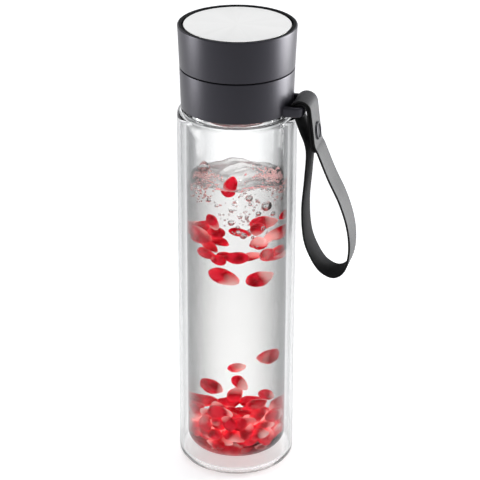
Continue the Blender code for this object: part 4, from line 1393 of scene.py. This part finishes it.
def strap_path():
    """The middle of the one strip, from its flap, twice over the bar, to the end of its tail."""
    front = Vector((math.sin(STRAP_FRONT_LEAN), -math.cos(STRAP_FRONT_LEAN)))
    back = Vector((math.sin(STRAP_BACK_LEAN), -math.cos(STRAP_BACK_LEAN)))
    first = math.pi + STRAP_BACK_LEAN
    last = STRAP_FRONT_LEAN
    outer = wrap(OUTER_WRAP_RADIUS, first, last)
    inner = wrap(INNER_WRAP_RADIUS, first, last)
    front_end = outer[-1] + front * STRAP_FRONT_RUN
    back_end = inner[0] + back * STRAP_BACK_RUN
    reach = STRAP_REACH - STRAP_THICKNESS / 2
    drop = STRAP_DROP - STRAP_THICKNESS / 2
    loop = [Vector((out_share * reach, -down_share * drop)) for out_share, down_share in LOOP_SHARES]
    hanging = smooth_curve([front_end, *loop, back_end], outer[-1], inner[0], LOOP_STEPS)
    flap = [outer[0] + back * STRAP_FLAP * (1 - step / END_STEPS) for step in range(END_STEPS)]
    run = [outer[-1] + front * STRAP_FRONT_RUN * step / END_STEPS for step in range(1, END_STEPS)]
    descent = [outer[-1], *run, *hanging]
    tail_bend = STRAP_TAIL - STRAP_END_RADIUS
    tail = [inside(descent, tail_bend * step / TAIL_STEPS) for step in range(1, TAIL_STEPS)]
    for step in range(END_STEPS + 1):
        tail.append(inside(descent, tail_bend + STRAP_END_RADIUS * step / END_STEPS))
    return [*flap, *outer, *run, *hanging, *inner, *tail]


def strap_half_width(distance):
    """Half the strip's width at a distance from one of its rounded ends."""
    radius = STRAP_END_RADIUS
    if distance >= radius:
        return STRAP_WIDTH / 2
    return STRAP_WIDTH / 2 - radius + math.sqrt(radius**2 - (radius - distance) ** 2)


def strap_section(half_width):
    """The strip's cross-section as (across, out) points from one face's edge round to the other's."""
    half = STRAP_THICKNESS / 2
    corners = [(-half_width, half), (half_width, half), (half_width, -half), (-half_width, -half)]
    return rounded([(across, out, STRAP_EDGE_FILLET) for across, out in corners], closed=True)


def strap_strip():
    """The strip as one closed mesh, unrolled in its UV map: along the strip, then round its section."""
    path = strap_path()
    lengths = [0.0]
    for before, after in zip(path, path[1:]):
        lengths.append(lengths[-1] + (after - before).length)
    bm = bmesh.new()
    unrolled = bm.loops.layers.uv.new("strip")
    section = strap_section(STRAP_WIDTH / 2)
    count = len(section)
    round_lengths = [0.0]
    for number in range(count):
        round_lengths.append(round_lengths[-1] + (section[(number + 1) % count] - section[number]).length)
    rings = []
    for i, place in enumerate(path):
        along = (path[min(i + 1, len(path) - 1)] - path[max(i - 1, 0)]).normalized()
        aside = Vector((-along.y, along.x))
        ring = []
        for point in strap_section(strap_half_width(min(lengths[i], lengths[-1] - lengths[i]))):
            spot = place + aside * point.y
            ring.append(bm.verts.new((spot.x, point.x, spot.y)))
        rings.append(ring)
    for i, (lower, upper) in enumerate(zip(rings, rings[1:])):
        for side in range(count):
            after = (side + 1) % count
            face = bm.faces.new((lower[side], lower[after], upper[after], upper[side]))
            flat = abs(section[side].x - section[after].x) > STRAP_WIDTH / 2
            outside = section[side].y > 0
            face.material_index = (0 if outside else 1) if flat else 2
            places = ((i, side), (i, side + 1), (i + 1, side + 1), (i + 1, side))
            for loop, (ring_number, corner) in zip(face.loops, places):
                loop[unrolled].uv = (lengths[ring_number], round_lengths[corner])
    for end, ring in ((0, rings[0]), (-1, rings[-1])):
        bm.faces.new(ring).material_index = 2
    bmesh.ops.recalc_face_normals(bm, faces=bm.faces)
    bmesh.ops.translate(bm, verts=bm.verts, vec=bar_centre)
    return bm


def leather(name, dark, light, roughness, gloss, relief):
    """Faux leather: a fine pebbled grain, mottled between a darker and a lighter tone."""
    made, tree, shader = new_material(name)
    place = node(tree, "ShaderNodeUVMap", "UV", uv_map="strip")
    inputs = {"Vector": place, "Scale": PEBBLE_SCALE}
    pebble = node(tree, "ShaderNodeTexVoronoi", "Distance", inputs)
    inputs = {"Vector": place, "Scale": LEATHER_MOTTLE_SCALE, "Detail": LEATHER_MOTTLE_DETAIL}
    mottle = node(tree, "ShaderNodeTexNoise", "Fac", inputs)
    smoother, rougher = LEATHER_ROUGHNESS_DRIFT
    inputs = {"Value": mottle, "To Min": roughness - smoother, "To Max": roughness + rougher}
    values = {"Base Color": mixed(tree, mottle, dark, light), "Specular IOR Level": gloss}
    values["Roughness"] = node(tree, "ShaderNodeMapRange", "Result", inputs)
    values["Normal"] = raised(tree, pebble, relief, PEBBLE_DEPTH)
    set_inputs(tree, shader, values)
    return made


edge_finish = two_toned("edge_paint", EDGE_PAINT, EDGE_TONE, EDGE_MOTTLE_SCALE, EDGE_VALUES)
leather_finishes = [leather("faux_leather", *LEATHER_FACE), leather("strap_lining", *SHADED_LINING_FACE)]
finished("leather_strap", strap_strip(), [*leather_finishes, edge_finish], "strap", "faux_leather", "strap")


# The rivet: a dark plated cap with a raised rim outside, and a flat base inside the strap.
# It clamps the front run and the tail together below the bar.
RIVET_DISTANCE = 0.0141
RIVET_CAP_RADIUS = 0.0052
RIVET_CAP_RISE = 0.0012
RIVET_DISH_RADIUS = 0.0036
RIVET_DISH_DEPTH = 0.0007
RIVET_DISH_SLOPE = 0.0003
RIVET_CAP_SLOPE = 0.0004
RIVET_DISH_FILLET = 0.0003
RIVET_LIP_FILLET = 0.0002
RIVET_RIM_FILLET = 0.0004
RIVET_SIDES = 64
NICKEL = (0.045, 0.045, 0.048)
NICKEL_TONE = 1.4
NICKEL_MOTTLE_SCALE = 800.0
NICKEL_VALUES = {"Roughness": 0.28, "Metallic": 1.0}

nickel_finish = two_toned("black_nickel", NICKEL, NICKEL_TONE, NICKEL_MOTTLE_SCALE, NICKEL_VALUES)
rivet_outward = Vector((math.cos(STRAP_FRONT_LEAN), 0, math.sin(STRAP_FRONT_LEAN)))
rivet_down = Vector((math.sin(STRAP_FRONT_LEAN), 0, -math.cos(STRAP_FRONT_LEAN)))
rivet_face = OUTER_WRAP_RADIUS + STRAP_THICKNESS / 2
rivet_centre = bar_centre + rivet_outward * rivet_face + rivet_down * RIVET_DISTANCE
rivet_path = rounded(
    [
        (0, RIVET_CAP_RISE - RIVET_DISH_DEPTH, 0),
        (RIVET_DISH_RADIUS, RIVET_CAP_RISE - RIVET_DISH_DEPTH, RIVET_DISH_FILLET),
        (RIVET_DISH_RADIUS + RIVET_DISH_SLOPE, RIVET_CAP_RISE, RIVET_LIP_FILLET),
        (RIVET_CAP_RADIUS - RIVET_CAP_SLOPE, RIVET_CAP_RISE, RIVET_RIM_FILLET),
        (RIVET_CAP_RADIUS, 0, 0),
        (0, 0, 0),
    ]
)
rivet_bm = lathe(rivet_path, sides=RIVET_SIDES)
rivet_turn = rivet_outward.to_track_quat("Z", "Y").to_matrix().to_4x4()
bmesh.ops.transform(rivet_bm, verts=rivet_bm.verts, matrix=Matrix.Translation(rivet_centre) @ rivet_turn)
finished("rivet_dished_cap", rivet_bm, [nickel_finish], "strap", "black_nickel", "rivet_cap")
frame["nodes"]["rivet_base"].material_slots[0].material = nickel_finish
